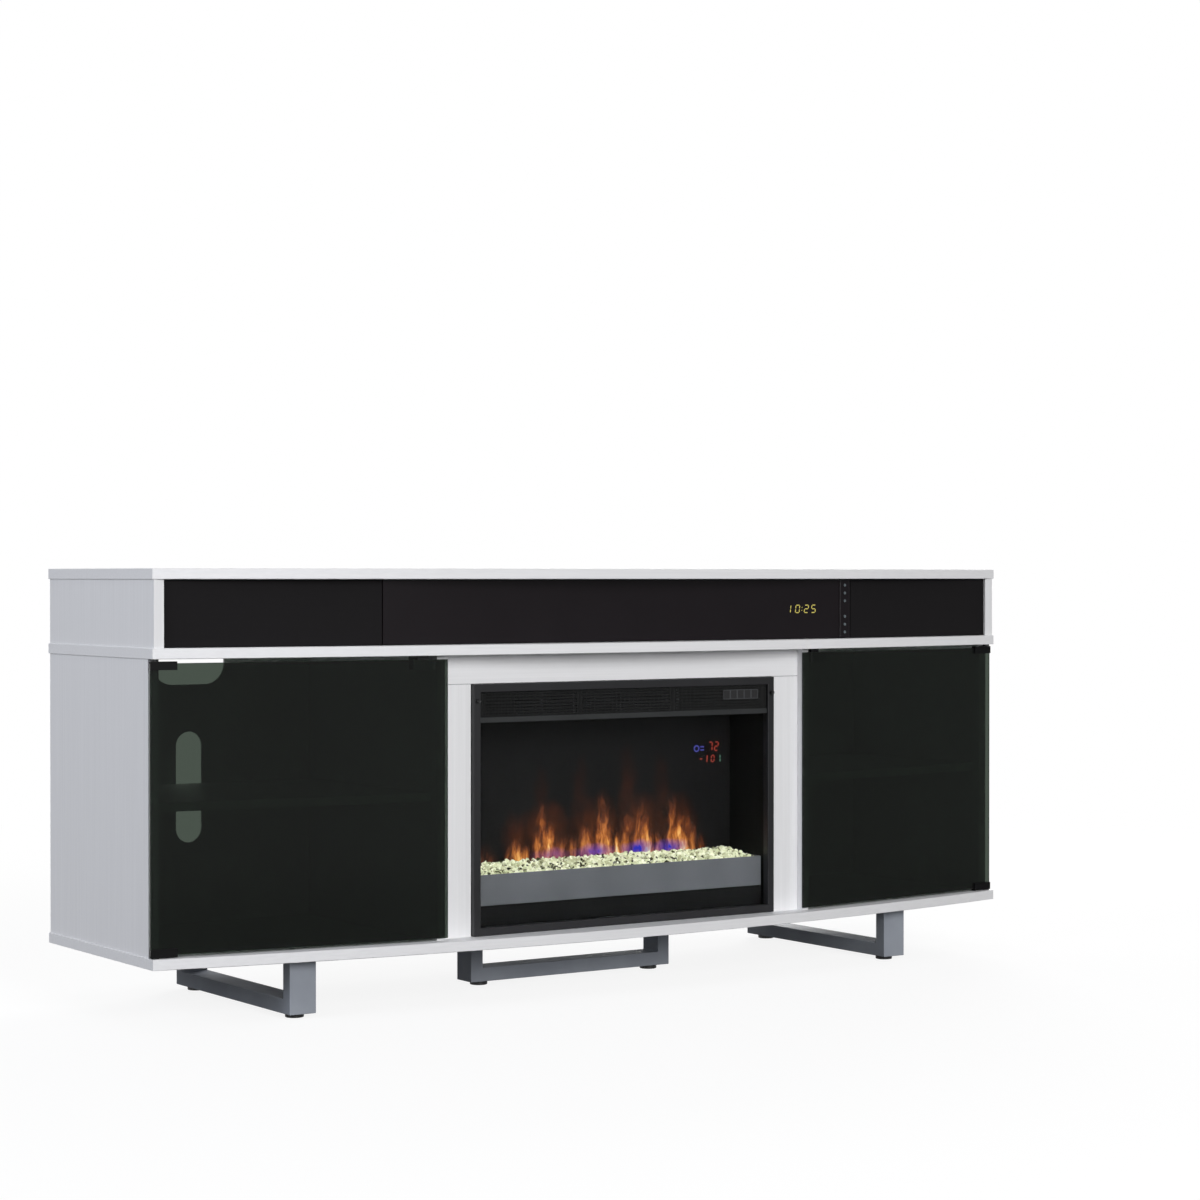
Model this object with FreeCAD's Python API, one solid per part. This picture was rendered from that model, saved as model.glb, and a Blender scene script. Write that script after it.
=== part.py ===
import FreeCAD, Part
import math
import os

# A bow-fronted media console: white laminated boards on three steel legs, smoked glass doors at both ends,
# an electric fire in the middle bay and a soundbar across the top bay.
# Millimetres. +Z is up, the front faces -Y, and the origin is on the floor under the middle of the console.

Vector = FreeCAD.Vector

# Carcass boards
CABINET_WIDTH = 1829.0
END_DEPTH = 430.0            # depth of the bowed boards at their two ends
BOW_RISE = 96.0              # how far the front bows out at mid-width
BOARD = 18.0                 # bowed boards and sides
THIN_BOARD = 15.0            # partitions, shelves and fire surround
HARDBOARD = 5.0              # backs
EDGE_ROUND = 1.0             # eased edge of the bowed boards
DOOR_SPACE = 491.5           # clear height between bottom and middle board
SOUND_SPACE = 113.0          # clear height between middle and top board
FIRE_BAY_WIDTH = 780.0       # between the partitions
SIDE_INSET = 3.0             # sides stand in from the ends of the bowed boards
UPPER_SIDE_SETBACK = 2.0     # behind the bowed front
GROOVE_DEPTH = 6.0           # grooves that hold the backs
GROOVE_FROM_BACK = 6.0
GROOVE_PLAY = 0.3

# Cable openings in the backs
SLOT_WIDTH = 52.0
SLOT_HEIGHT = 201.0
NOTCH_WIDTH = 143.0
NOTCH_HEIGHT = 60.0
NOTCH_ROUND = 38.0
PORT_WIDTH = 120.0
PORT_HEIGHT = 40.0

# Joinery
DOWEL_RADIUS = 4.0
DOWEL_IN_PANEL = 11.0
DOWEL_IN_BOARD = 19.0
DOWEL_INSET = 60.0           # from the front and back edges of a board
DOWEL_STAGGER = 40.0         # upper sides' dowels pass those of the lower sides
FIT_GAP = 0.05               # radial play of dowels, pins and shafts in their holes
PIN_RADIUS = 2.5             # shelf pins
PIN_IN_BOARD = 9.0
PIN_OUT = 11.0
PIN_FROM_EDGE = 70.0
SHELF_SETBACK = 24.0         # behind the door glass
SHELF_PLAY = 0.5
SHELF_BACK_GAP = 10.0        # cables drop behind the shelf

# Legs and feet
FOOT_RADIUS = 16.0
FOOT_HEIGHT = 8.0
FOOT_EASE = 1.5
FOOT_INSET = 31.0            # from the ends of a runner
STUD_RADIUS = 4.0
STUD_LENGTH = 16.0
LEG_HEIGHT = 92.5
LEG_LENGTH = 440.0
LEG_FROM_END = 268.7         # middle of an end leg, from the end of the bottom board
LEG_FROM_BACK = 3.5
TUBE_WIDTH = 50.0
TUBE_DEPTH = 25.0
TUBE_WALL = 1.5
TUBE_ROUND = 1.2
LEG_PLATE = 3.0              # welded cap that takes the bolts
BOLT_RADIUS = 3.0
BOLT_HEAD_RADIUS = 6.0
BOLT_HEAD_HEIGHT = 3.3
BOLT_SPREAD = 28.0
BOLT_IN_LEG = 12.0

# Glass doors
DOOR_GLASS = 5.0
DOOR_END_INSET = 0.5         # outer edge, in from the ends of the bowed boards
DOOR_OUTER_BACKSET = 11.0    # front face behind the bowed front, at its outer edge
DOOR_INNER_OVERHANG = 2.0    # inner edge, past the partition into the fire bay
DOOR_INNER_BACKSET = 21.0
DOOR_TOP_GAP = 4.0
DOOR_BOTTOM_GAP = 1.5
DOOR_CLEARANCE = 0.8         # to the boards behind the glass
GLASS_EDGE = 0.6
PIVOT_INSET = 8.5            # from the outer edge of the glass
CLAMP_LENGTH = 46.0
CLAMP_HEIGHT = 14.0
CLAMP_WALL = 3.0
CLAMP_CAP = 3.0
PIVOT_RADIUS = 2.5
PIVOT_ENTRY = 10.0           # into the board
BUSH_RADIUS = 6.5
BUSH_SPIGOT_RADIUS = 4.5
BUSH_DEPTH = 11.0
BUSH_PLAY = 0.3
STRIKE_WIDTH = 40.0
STRIKE_HEIGHT = 18.0
STRIKE_THICK = 2.0
STRIKE_INSET = 22.0          # from the inner edge of the glass
LATCH_WIDTH = 20.0
LATCH_LENGTH = 40.0
LATCH_BELOW_AXIS = 9.0
PLUNGER_RADIUS = 4.5
PLUNGER_OUT = 4.5
PLUNGER_INSIDE = 24.0
PLUNGER_TRAVEL = 3.5
PLUNGER_GAP = 0.3            # to the strike plate at rest

# Fire surround and insert
SURROUND_BACKSET = 60.0      # behind the crown of the bow
SURROUND_PLAY = 1.0          # round the bezel
STILE_WIDTH = 61.0
INSERT_HEIGHT = 439.0
BEZEL_LIFT = 0.5             # above the bottom board
BEZEL_BAR = 14.0
BEZEL_DEPTH = 15.0
BEZEL_PROUD = 9.0            # in front of the surround
BEZEL_EASE = 1.0
SHEET = 1.5
HOUSING_DEPTH = 220.0
HOUSING_DROP = 1.0           # housing top below the bezel top
FLANGE_WIDTH = 34.0          # wings of the housing behind the stiles
FLANGE_FROM_END = 40.0
THUMBSCREW_RADIUS = 3.5
THUMBSCREW_HEAD = 6.0
THUMBSCREW_STEM_RADIUS = 2.0
THUMBSCREW_DROP = 29.0       # below the bezel top
PANE = 4.0
PANE_RECESS = 7.0            # behind the bezel face
PANE_PLAY = 0.5
OUTLET_HEIGHT = 44.5
OUTLET_THICK = 3.0
OUTLET_SLOTS = 7
OUTLET_COLUMNS = 3
OUTLET_RIB = 14.0
OUTLET_SLOT_HEIGHT = 2.6
LIP_HEIGHT = 9.0
LIP_DEPTH = 10.0
LIP_RECESS = 3.0
LIP_SIDE_PLAY = 0.8
VENT_ROWS = 6
VENT_COLUMNS = 4
VENT_WIDTH = 90.0
VENT_HEIGHT = 4.0
VENT_PITCH_X = 130.0
VENT_PITCH_Z = 9.0

# Inside the fire
RAIL_FROM_FLOOR = 51.0       # underside of the ember tray's front
RAIL_HEIGHT = 54.0
TRAY_END_GAP = 6.0           # to the sides of the housing
TRAY_DEPTH = 100.0
TRAY_FLOOR_RISE = 28.0       # tray floor above the front's underside
TRAY_LIFT = 1.5              # front clear of the plinth
EMBER_PLAY = 0.3
EMBER_FRONT_DROP = 2.0       # bed below the top of the tray's front
EMBER_BACK_RISE = 13.0
PLINTH_RECESS = 8.0
SCREEN_GAP = 5.0             # tray to flame screen
SCREEN = 3.0
SPINDLE_BEHIND_SCREEN = 45.0
SPINDLE_RISE = 70.0          # above the floor of the housing
SPINDLE_END_ROOM = 64.0      # for the motor and the far bearing
SPINDLE_RADIUS = 3.0
SPINDLE_FLAGS = 24
FLAG_REACH = 24.0
FLAG_WIDTH = 17.0
FLAG_THICK = 0.8
FLAG_TURN = 50.0             # degrees from one flag to the next
SHAFT_ENTRY = 12.0
MOTOR_RADIUS = 20.0
MOTOR_LENGTH = 32.0
MOTOR_GAP = 6.0
BRACKET_WIDTH = 44.0
BRACKET_THICK = 3.0
BLOWER_HALF = 150.0
WHEEL_RADIUS = 22.0
WHEEL_BLADES = 18
WHEEL_BLADE_DEPTH = 6.0
WHEEL_BLADE_THICK = 1.2
WHEEL_DISC = 2.0
WHEEL_DISCS = 4
WHEEL_GAP = 4.0
SCROLL_GAP = 4.0
SCROLL_MOUTH = 40.0          # from the wheel's axis to the mouth
BLOWER_BEHIND_FACE = 107.0   # wheel axis behind the housing's front
HEATER_DEPTH = 20.0
HEATER_FRAME = 4.0
HEATER_FINS = 30
HEATER_FIN_THICK = 1.2
BOARD_THICK = 1.6            # circuit boards
BOARD_LIFT = 6.0
LIGHT_BOARD_INSET = 20.0     # from the ends of the flags
LIGHT_BOARD_DEPTH = 40.0
CONTROL_WIDTH = 120.0
CONTROL_HEIGHT = 80.0
CONTROL_FROM_END = 104.0     # from the right side of the housing
CONTROL_RISE = 220.0
DISPLAY_FROM_END = 56.0
DISPLAY_RISE = 299.0         # middle of the lit digits above the bottom board
DISPLAY_WIDTH = 62.0
DISPLAY_HEIGHT = 56.0
DISPLAY_DEPTH = 9.0
INLET_FROM_END = 44.0        # from the left side of the housing
INLET_RISE = 40.0
INLET_RADIUS = 8.0
INLET_FLANGE_RADIUS = 12.0
INLET_FLANGE = 4.0
INLET_BORE = 4.5
INLET_DEPTH = 18.0

# Soundbar
FACE_BACKSET = 51.0          # behind the crown of the bow
FACE_HALF = 509.0
FACE_THICK = 12.0
FACE_PLAY = 1.0              # to the boards above and below
FACE_GRILLE_GAP = 2.0
GRILLE_END_GAP = 0.5
GRILLE_OUTER_BACKSET = 10.5
GRILLE_THICK = 10.0
GRILLE_RIM = 7.0
GRILLE_SKIN = 2.0
POD_INSET = 2.0              # control strip, in from the end of the face
POD_WIDTH = 24.0
POD_PROUD = 2.5
POD_ROUND = 2.0
BUTTON_RADIUS = 2.7
BUTTON_PITCH = 14.8
BUTTON_PROUD = 0.8
BUTTON_TRAVEL = 0.8
BUTTON_PLAY = 0.15
BUTTON_CAP = 5.0
BUTTON_COLLAR_RADIUS = 4.0
BUTTON_COLLAR = 1.5
BUTTON_STEM_RADIUS = 1.5
BUTTON_STEM_GAP = 1.2
BUTTON_STEPS = (3, 2, 1, -1, -2, -3)
ENCLOSURE_DEPTH = 130.0
ENCLOSURE_WALL = 9.0
ENCLOSURE_TOP_GAP = 2.0
DRIVER_PLACES = (0.3, 0.72)  # shares of a grille's length
DRIVER_FLANGE_RADIUS = 46.0
DRIVER_FLANGE = 3.0
DRIVER_HOLE_RADIUS = 40.0
DRIVER_BASKET_RADIUS = 39.0
DRIVER_NECK_RADIUS = 24.0
DRIVER_BASKET_DEPTH = 30.0
DRIVER_MAGNET_RADIUS = 27.0
DRIVER_MAGNET = 16.0
DRIVER_DISH = 14.0
DRIVER_CAP_RADIUS = 12.0
AMP_WIDTH = 160.0
AMP_DEPTH = 70.0

# Heights, from the floor up
BOTTOM_Z = FOOT_HEIGHT + LEG_HEIGHT
FLOOR_Z = BOTTOM_Z + BOARD
MID_Z = FLOOR_Z + DOOR_SPACE
SOUND_Z = MID_Z + BOARD
TOP_Z = SOUND_Z + SOUND_SPACE

# Plan of the carcass
HALF_WIDTH = CABINET_WIDTH / 2
LEG_X = HALF_WIDTH - LEG_FROM_END
BACK_Y = (END_DEPTH + BOW_RISE) / 2
END_FRONT_Y = BACK_Y - END_DEPTH
CROWN_Y = -BACK_Y
BOW_RADIUS = (HALF_WIDTH ** 2 + BOW_RISE ** 2) / (2 * BOW_RISE)
SIDE_OUTER_X = HALF_WIDTH - SIDE_INSET
SIDE_INNER_X = SIDE_OUTER_X - BOARD
PARTITION_INNER_X = FIRE_BAY_WIDTH / 2
PARTITION_OUTER_X = PARTITION_INNER_X + THIN_BOARD
COMPARTMENT_X = (SIDE_INNER_X + PARTITION_OUTER_X) / 2
BACKING_Y = BACK_Y - GROOVE_FROM_BACK - HARDBOARD


def bow_y(x):
    """Front of the bowed boards at a place across the width."""
    return CROWN_Y + BOW_RADIUS - math.sqrt(BOW_RADIUS ** 2 - x ** 2)


# Line of the left door in plan, from its outer edge to its inner edge
DOOR_OUTER_X = -(HALF_WIDTH - DOOR_END_INSET)
DOOR_INNER_X = -(PARTITION_INNER_X - DOOR_INNER_OVERHANG)
DOOR_OUTER = Vector(DOOR_OUTER_X, bow_y(DOOR_OUTER_X) + DOOR_OUTER_BACKSET, 0)
DOOR_INNER = Vector(DOOR_INNER_X, bow_y(DOOR_INNER_X) + DOOR_INNER_BACKSET, 0)
DOOR_LENGTH = (DOOR_INNER - DOOR_OUTER).Length
DOOR_SLOPE = (DOOR_INNER.y - DOOR_OUTER.y) / (DOOR_INNER.x - DOOR_OUTER.x)
DOOR_ANGLE = math.degrees(math.atan(DOOR_SLOPE))
CLAMP_TOP_Z = MID_Z - DOOR_TOP_GAP
CLAMP_BOTTOM_Z = FLOOR_Z + DOOR_BOTTOM_GAP
GLASS_TOP_Z = CLAMP_TOP_Z - CLAMP_CAP
GLASS_BOTTOM_Z = CLAMP_BOTTOM_Z + CLAMP_CAP
LATCH_Z = GLASS_TOP_Z - STRIKE_HEIGHT / 2
LATCH_ALONG = DOOR_LENGTH - STRIKE_INSET - STRIKE_WIDTH / 2

# Line of the left speaker grille in plan, from its outer end to its inner end
GRILLE_INNER_X = FACE_HALF + FACE_GRILLE_GAP
GRILLE_OUTER_X = -(SIDE_INNER_X - GRILLE_END_GAP)
GRILLE_OUTER = Vector(GRILLE_OUTER_X, bow_y(GRILLE_OUTER_X) + GRILLE_OUTER_BACKSET, 0)
GRILLE_INNER = Vector(-GRILLE_INNER_X, CROWN_Y + FACE_BACKSET, 0)
GRILLE_LENGTH = (GRILLE_INNER - GRILLE_OUTER).Length
GRILLE_ANGLE = math.degrees(math.atan2(GRILLE_INNER.y - GRILLE_OUTER.y, GRILLE_INNER.x - GRILLE_OUTER.x))

# Faces of the fire surround and insert
SURROUND_Y = CROWN_Y + SURROUND_BACKSET
SURROUND_BACK_Y = SURROUND_Y + THIN_BOARD
BEZEL_Y = SURROUND_Y - BEZEL_PROUD
BEZEL_BACK_Y = BEZEL_Y + BEZEL_DEPTH
BEZEL_BOTTOM_Z = FLOOR_Z + BEZEL_LIFT
BEZEL_TOP_Z = BEZEL_BOTTOM_Z + INSERT_HEIGHT
INSERT_WIDTH = FIRE_BAY_WIDTH - 2 * (STILE_WIDTH + SURROUND_PLAY)
OPENING_HALF = INSERT_WIDTH / 2 - BEZEL_BAR
OPENING_BOTTOM_Z = BEZEL_BOTTOM_Z + BEZEL_BAR
OPENING_TOP_Z = BEZEL_TOP_Z - BEZEL_BAR
RAIL_Z = BEZEL_TOP_Z + SURROUND_PLAY
STILE_INNER_X = INSERT_WIDTH / 2 + SURROUND_PLAY
LIP_Z = OPENING_TOP_Z - OUTLET_HEIGHT - LIP_HEIGHT
OUTLET_Z = LIP_Z + LIP_HEIGHT
BAFFLE_Z = LIP_Z
PANE_Y = BEZEL_Y + PANE_RECESS
HOUSING_HALF = OPENING_HALF + SHEET
HOUSING_BACK_Y = BEZEL_BACK_Y + HOUSING_DEPTH
HOUSING_TOP_Z = BEZEL_TOP_Z - HOUSING_DROP
INNER_FLOOR_Z = FLOOR_Z + SHEET
INNER_BACK_Y = HOUSING_BACK_Y - SHEET
TRAY_HALF_WIDTH = OPENING_HALF - TRAY_END_GAP
TRAY_BOTTOM_Z = FLOOR_Z + RAIL_FROM_FLOOR
TRAY_TOP_Z = TRAY_BOTTOM_Z + RAIL_HEIGHT
TRAY_FLOOR_Z = TRAY_BOTTOM_Z + TRAY_FLOOR_RISE
TRAY_BACK_Y = BEZEL_BACK_Y + TRAY_DEPTH
PLINTH_TOP_Z = TRAY_BOTTOM_Z - TRAY_LIFT
PLINTH_Y = BEZEL_BACK_Y + PLINTH_RECESS
SCREEN_Y = TRAY_BACK_Y + SCREEN_GAP
SCREEN_BACK_Y = SCREEN_Y + SCREEN
SPINDLE_HALF = OPENING_HALF - SPINDLE_END_ROOM
SPINDLE_Y = SCREEN_BACK_Y + SPINDLE_BEHIND_SCREEN
SPINDLE_Z = INNER_FLOOR_Z + SPINDLE_RISE
SCROLL_RADIUS = WHEEL_RADIUS + SCROLL_GAP + SHEET
LIGHT_BOARD_HALF = SPINDLE_HALF - LIGHT_BOARD_INSET
CONTROL_X = OPENING_HALF - CONTROL_FROM_END
DISPLAY_X = OPENING_HALF - DISPLAY_FROM_END
INLET_X = INLET_FROM_END - OPENING_HALF
BLOWER_Y = BEZEL_BACK_Y + BLOWER_BEHIND_FACE
BLOWER_Z = BAFFLE_Z + SCROLL_RADIUS

# Faces of the soundbar
FACE_Y = CROWN_Y + FACE_BACKSET
FACE_BACK_Y = FACE_Y + FACE_THICK
POD_Y = FACE_Y - POD_PROUD
POD_X = FACE_HALF - POD_INSET - POD_WIDTH / 2
SOUND_MID_Z = SOUND_Z + SOUND_SPACE / 2
ENCLOSURE_TOP_Z = TOP_Z - ENCLOSURE_TOP_GAP
ENCLOSURE_BACK_Y = FACE_BACK_Y + ENCLOSURE_DEPTH


def block(x0, x1, y0, y1, z0, z1):
    """Box between two corners."""
    return Part.makeBox(x1 - x0, y1 - y0, z1 - z0, Vector(x0, y0, z0))


def rod(radius, start, end):
    """Round bar from one point to another."""
    axis = end - start
    return Part.makeCylinder(radius, axis.Length, start, axis)


def prism(corners, z0, z1):
    """Upright prism over a plan outline."""
    points = [Vector(corner[0], corner[1], z0) for corner in corners]
    return Part.Face(Part.makePolygon(points + points[:1])).extrude(Vector(0, 0, z1 - z0))


def fused(pieces):
    """One solid from touching pieces."""
    return pieces[0].multiFuse(pieces[1:]).removeSplitter()


def mirrored(shape):
    """The same piece on the other side of the console."""
    return shape.mirror(Vector(0, 0, 0), Vector(1, 0, 0))


def both_sides(shape):
    """A left piece and its right twin."""
    return [shape, mirrored(shape)]


def eased(shape, radius, chosen):
    """Rounds the chosen edges of a piece."""
    return shape.makeFillet(radius, [edge for edge in shape.Edges if chosen(edge)])


def is_level(edge):
    return edge.BoundBox.ZLength < edge.BoundBox.DiagonalLength / 1000


def is_upright(edge):
    return edge.BoundBox.ZLength > edge.BoundBox.DiagonalLength * 0.999


def save(node, *shapes):
    """Writes a node: one solid, or a group of separate ones."""
    solids = [solid for shape in shapes for solid in shape.Solids]
    whole = solids[0] if len(solids) == 1 else Part.makeCompound(solids)
    whole.exportStep(f"parts/{node}.step")


def place_on_line(shape, start, angle):
    """Carries a piece from a door's or grille's own frame to its slanted place on the left."""
    placed = shape.copy()
    placed.rotate(Vector(0, 0, 0), Vector(0, 0, 1), angle)
    placed.translate(start)
    return placed


def on_door(shape):
    return place_on_line(shape, DOOR_OUTER, DOOR_ANGLE)


def on_grille(shape):
    return place_on_line(shape, GRILLE_OUTER, GRILLE_ANGLE)


def line_point(start, angle, along, into, z):
    """Point beside a slanted line: along it from its outer end, and into the console."""
    turn = math.radians(angle)
    x = start.x + along * math.cos(turn) - into * math.sin(turn)
    y = start.y + along * math.sin(turn) + into * math.cos(turn)
    return Vector(x, y, z)


def door_point(along, into, z):
    return line_point(DOOR_OUTER, DOOR_ANGLE, along, into, z)


def grille_point(along, into, z):
    return line_point(GRILLE_OUTER, GRILLE_ANGLE, along, into, z)


def door_back_y(x):
    """Back face of the left door's glass at a place across the width."""
    slant = DOOR_GLASS / math.cos(math.radians(DOOR_ANGLE))
    return DOOR_OUTER.y + (x - DOOR_OUTER.x) * DOOR_SLOPE + slant


PIVOT = door_point(PIVOT_INSET, DOOR_GLASS / 2, 0)
SWING_RADIUS = math.hypot(PIVOT_INSET, DOOR_GLASS / 2 + CLAMP_WALL)
UPPER_SIDE_Y = bow_y(SIDE_OUTER_X) + UPPER_SIDE_SETBACK
LOWER_SIDE_Y = PIVOT.y + SWING_RADIUS + DOOR_CLEARANCE
PARTITION_Y = door_back_y(-PARTITION_OUTER_X) + DOOR_CLEARANCE
SHELF_Z = FLOOR_Z + (DOOR_SPACE - THIN_BOARD) / 2
SHELF_PIN_Z = SHELF_Z - PIN_RADIUS
PIN_BACK_Y = BACKING_Y - PIN_FROM_EDGE
PIN_FRONT_Y = LOWER_SIDE_Y + PIN_FROM_EDGE


# Dowels between the upright boards and the bowed boards


def dowel_row(x, front_y, back_y, low_z, high_z, inset):
    """Lower ends of a pair of upright boards' dowels, two at each end of each board."""
    starts = []
    for side in (-x, x):
        for y in (front_y + inset, back_y - inset):
            starts.append(Vector(side, y, low_z - DOWEL_IN_PANEL))
            starts.append(Vector(side, y, high_z - DOWEL_IN_BOARD))
    return starts


def all_dowel_starts():
    side_x = (SIDE_INNER_X + SIDE_OUTER_X) / 2
    partition_x = (PARTITION_INNER_X + PARTITION_OUTER_X) / 2
    upper = dowel_row(side_x, UPPER_SIDE_Y, BACK_Y, SOUND_Z, TOP_Z, DOWEL_INSET + DOWEL_STAGGER)
    lower = dowel_row(side_x, LOWER_SIDE_Y, BACK_Y, FLOOR_Z, MID_Z, DOWEL_INSET)
    middle = dowel_row(partition_x, PARTITION_Y, BACK_Y, FLOOR_Z, MID_Z, DOWEL_INSET)
    return upper + lower + middle


def dowels(radius):
    rise = Vector(0, 0, DOWEL_IN_PANEL + DOWEL_IN_BOARD)
    return [rod(radius, start, start + rise) for start in all_dowel_starts()]


def near(shape, cutters):
    """Those cutters that reach a piece."""
    return [cutter for cutter in cutters if shape.BoundBox.intersect(cutter.BoundBox)]


def drilled(shape, cutters):
    reaching = near(shape, cutters)
    return shape.cut(reaching) if reaching else shape


DOWEL_HOLES = dowels(DOWEL_RADIUS + FIT_GAP)


# Bowed boards


def bowed_board(z):
    corners = [Vector(x, y, z) for x, y in ((-HALF_WIDTH, BACK_Y), (-HALF_WIDTH, END_FRONT_Y),
                                            (HALF_WIDTH, END_FRONT_Y), (HALF_WIDTH, BACK_Y))]
    front = Part.Arc(corners[1], Vector(0, CROWN_Y, z), corners[2]).toShape()
    left = Part.makeLine(corners[0], corners[1])
    right = Part.makeLine(corners[2], corners[3])
    back = Part.makeLine(corners[3], corners[0])
    board = Part.Face(Part.Wire([left, front, right, back])).extrude(Vector(0, 0, BOARD))
    return drilled(eased(board, EDGE_ROUND, is_level), DOWEL_HOLES)


def pivot_hole(seat_z, depth):
    """Hole for a pivot bush: into the board above when the depth is positive, below when negative."""
    start = Vector(PIVOT.x, PIVOT.y, seat_z)
    return rod(BUSH_SPIGOT_RADIUS + FIT_GAP, start, start + Vector(0, 0, depth))


def bolt_places():
    """Tops of the leg bolts on the bottom board."""
    places = []
    post = TUBE_DEPTH / 2
    front_y = LEG_Y + post
    back_y = LEG_Y + LEG_LENGTH - post
    for across in (-BOLT_SPREAD / 2, BOLT_SPREAD / 2):
        for x in (-LEG_X, LEG_X):
            places.append(Vector(x + across, front_y, FLOOR_Z))
            places.append(Vector(x + across, back_y, FLOOR_Z))
        for x in (-LEG_LENGTH / 2 + post, LEG_LENGTH / 2 - post):
            places.append(Vector(x, across, FLOOR_Z))
    return places


def bolt(top, play):
    """Countersunk bolt, flush with the bottom board."""
    head_low = top - Vector(0, 0, BOLT_HEAD_HEIGHT)
    head = Part.makeCone(BOLT_RADIUS + play, BOLT_HEAD_RADIUS + play, BOLT_HEAD_HEIGHT, head_low)
    shank = rod(BOLT_RADIUS + play, top - Vector(0, 0, BOARD + BOLT_IN_LEG), head_low)
    return fused([head, shank])


LEG_Y = BACK_Y - LEG_FROM_BACK - LEG_LENGTH


def carcass_panels():
    save("top_panel", bowed_board(TOP_Z))
    save("mid_panel", bowed_board(MID_Z).cut(both_sides(pivot_hole(MID_Z, BUSH_DEPTH))))
    holes = both_sides(pivot_hole(FLOOR_Z, -BUSH_DEPTH))
    holes += [bolt(place, FIT_GAP) for place in bolt_places()]
    save("bottom_panel", bowed_board(BOTTOM_Z).cut(holes))
    save("joint_dowels", *dowels(DOWEL_RADIUS))


# Upright boards, shelves and backs


def shelf_pin_holes(radius):
    """Pins of the left shelf, in the side and in the partition."""
    pins = []
    for y in (PIN_FRONT_Y, PIN_BACK_Y):
        for x, inward in ((-SIDE_INNER_X, 1), (-PARTITION_OUTER_X, -1)):
            start = Vector(x - inward * PIN_IN_BOARD, y, SHELF_PIN_Z)
            pins.append(rod(radius, start, Vector(x + inward * PIN_OUT, y, SHELF_PIN_Z)))
    return pins


def groove(face_x, inward, low_z, high_z):
    """Groove for a back, cut into an upright board from its inner face."""
    deep_x = face_x - inward * GROOVE_DEPTH
    y1 = BACKING_Y + HARDBOARD + GROOVE_PLAY
    return block(min(face_x, deep_x), max(face_x, deep_x), BACKING_Y - GROOVE_PLAY, y1, low_z, high_z)


def upright_boards():
    pin_holes = shelf_pin_holes(PIN_RADIUS + FIT_GAP)
    upper = block(-SIDE_OUTER_X, -SIDE_INNER_X, UPPER_SIDE_Y, BACK_Y, SOUND_Z, TOP_Z)
    upper = drilled(upper, DOWEL_HOLES).cut(groove(-SIDE_INNER_X, 1, SOUND_Z, TOP_Z))
    save("upper_sides", *both_sides(upper))
    lower = block(-SIDE_OUTER_X, -SIDE_INNER_X, LOWER_SIDE_Y, BACK_Y, FLOOR_Z, MID_Z)
    lower = drilled(lower, DOWEL_HOLES + pin_holes).cut(groove(-SIDE_INNER_X, 1, FLOOR_Z, MID_Z))
    save("lower_sides", *both_sides(lower))
    partition = block(-PARTITION_OUTER_X, -PARTITION_INNER_X, PARTITION_Y, BACK_Y, FLOOR_Z, MID_Z)
    partition = drilled(partition, DOWEL_HOLES + pin_holes)
    save("partitions", *both_sides(partition.cut(groove(-PARTITION_OUTER_X, -1, FLOOR_Z, MID_Z))))


def shelves():
    """Each shelf's front runs beside its door, and four pins carry it."""
    outer_x = -(SIDE_INNER_X - SHELF_PLAY)
    inner_x = -(PARTITION_OUTER_X + SHELF_PLAY)
    setback = SHELF_SETBACK / math.cos(math.radians(DOOR_ANGLE))
    back_y = BACKING_Y - SHELF_BACK_GAP
    corners = [(outer_x, back_y), (outer_x, door_back_y(outer_x) + setback),
               (inner_x, door_back_y(inner_x) + setback), (inner_x, back_y)]
    save("shelves", *both_sides(prism(corners, SHELF_Z, SHELF_Z + THIN_BOARD)))
    pins = shelf_pin_holes(PIN_RADIUS)
    save("shelf_pins", *pins, *[mirrored(pin) for pin in pins])


def obround(width, height, x, z):
    """Cutter through a back, rounded at the two ends of its longer side."""
    radius = min(width, height) / 2
    reach = (max(width, height)) / 2 - radius
    step = Vector(reach, 0, 0) if width > height else Vector(0, 0, reach)
    middle = Vector(x, BACKING_Y, z)
    through = Vector(0, HARDBOARD, 0)
    ends = [rod(radius, middle + step, middle + step + through), rod(radius, middle - step, middle - step + through)]
    half_x = max(step.x, radius) if width <= height else step.x
    half_z = max(step.z, radius) if width > height else step.z
    return ends + [block(x - half_x, x + half_x, BACKING_Y, BACKING_Y + HARDBOARD, z - half_z, z + half_z)]


def cable_notch():
    half = NOTCH_WIDTH / 2
    low_z = MID_Z - NOTCH_HEIGHT
    notch = block(-COMPARTMENT_X - half, -COMPARTMENT_X + half, BACKING_Y, BACKING_Y + HARDBOARD, low_z, MID_Z)

    def is_low_corner(edge):
        box = edge.BoundBox
        return box.YLength > HARDBOARD / 2 and box.ZMax < low_z + NOTCH_ROUND / 2

    return eased(notch, NOTCH_ROUND, is_low_corner)


def backs():
    hold = GROOVE_DEPTH - GROOVE_PLAY
    x0 = -(SIDE_INNER_X + hold)
    x1 = -(PARTITION_OUTER_X - hold)
    back = block(x0, x1, BACKING_Y, BACKING_Y + HARDBOARD, FLOOR_Z, MID_Z)
    slot = obround(SLOT_WIDTH, SLOT_HEIGHT, -COMPARTMENT_X, FLOOR_Z + DOOR_SPACE / 2)
    save("back_panels", *both_sides(back.cut(slot + [cable_notch()])))
    bay_half = SIDE_INNER_X + hold
    bay = block(-bay_half, bay_half, BACKING_Y, BACKING_Y + HARDBOARD, SOUND_Z, TOP_Z)
    save("bay_back_panel", bay.cut(obround(PORT_WIDTH, PORT_HEIGHT, 0, SOUND_MID_Z)))


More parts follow.
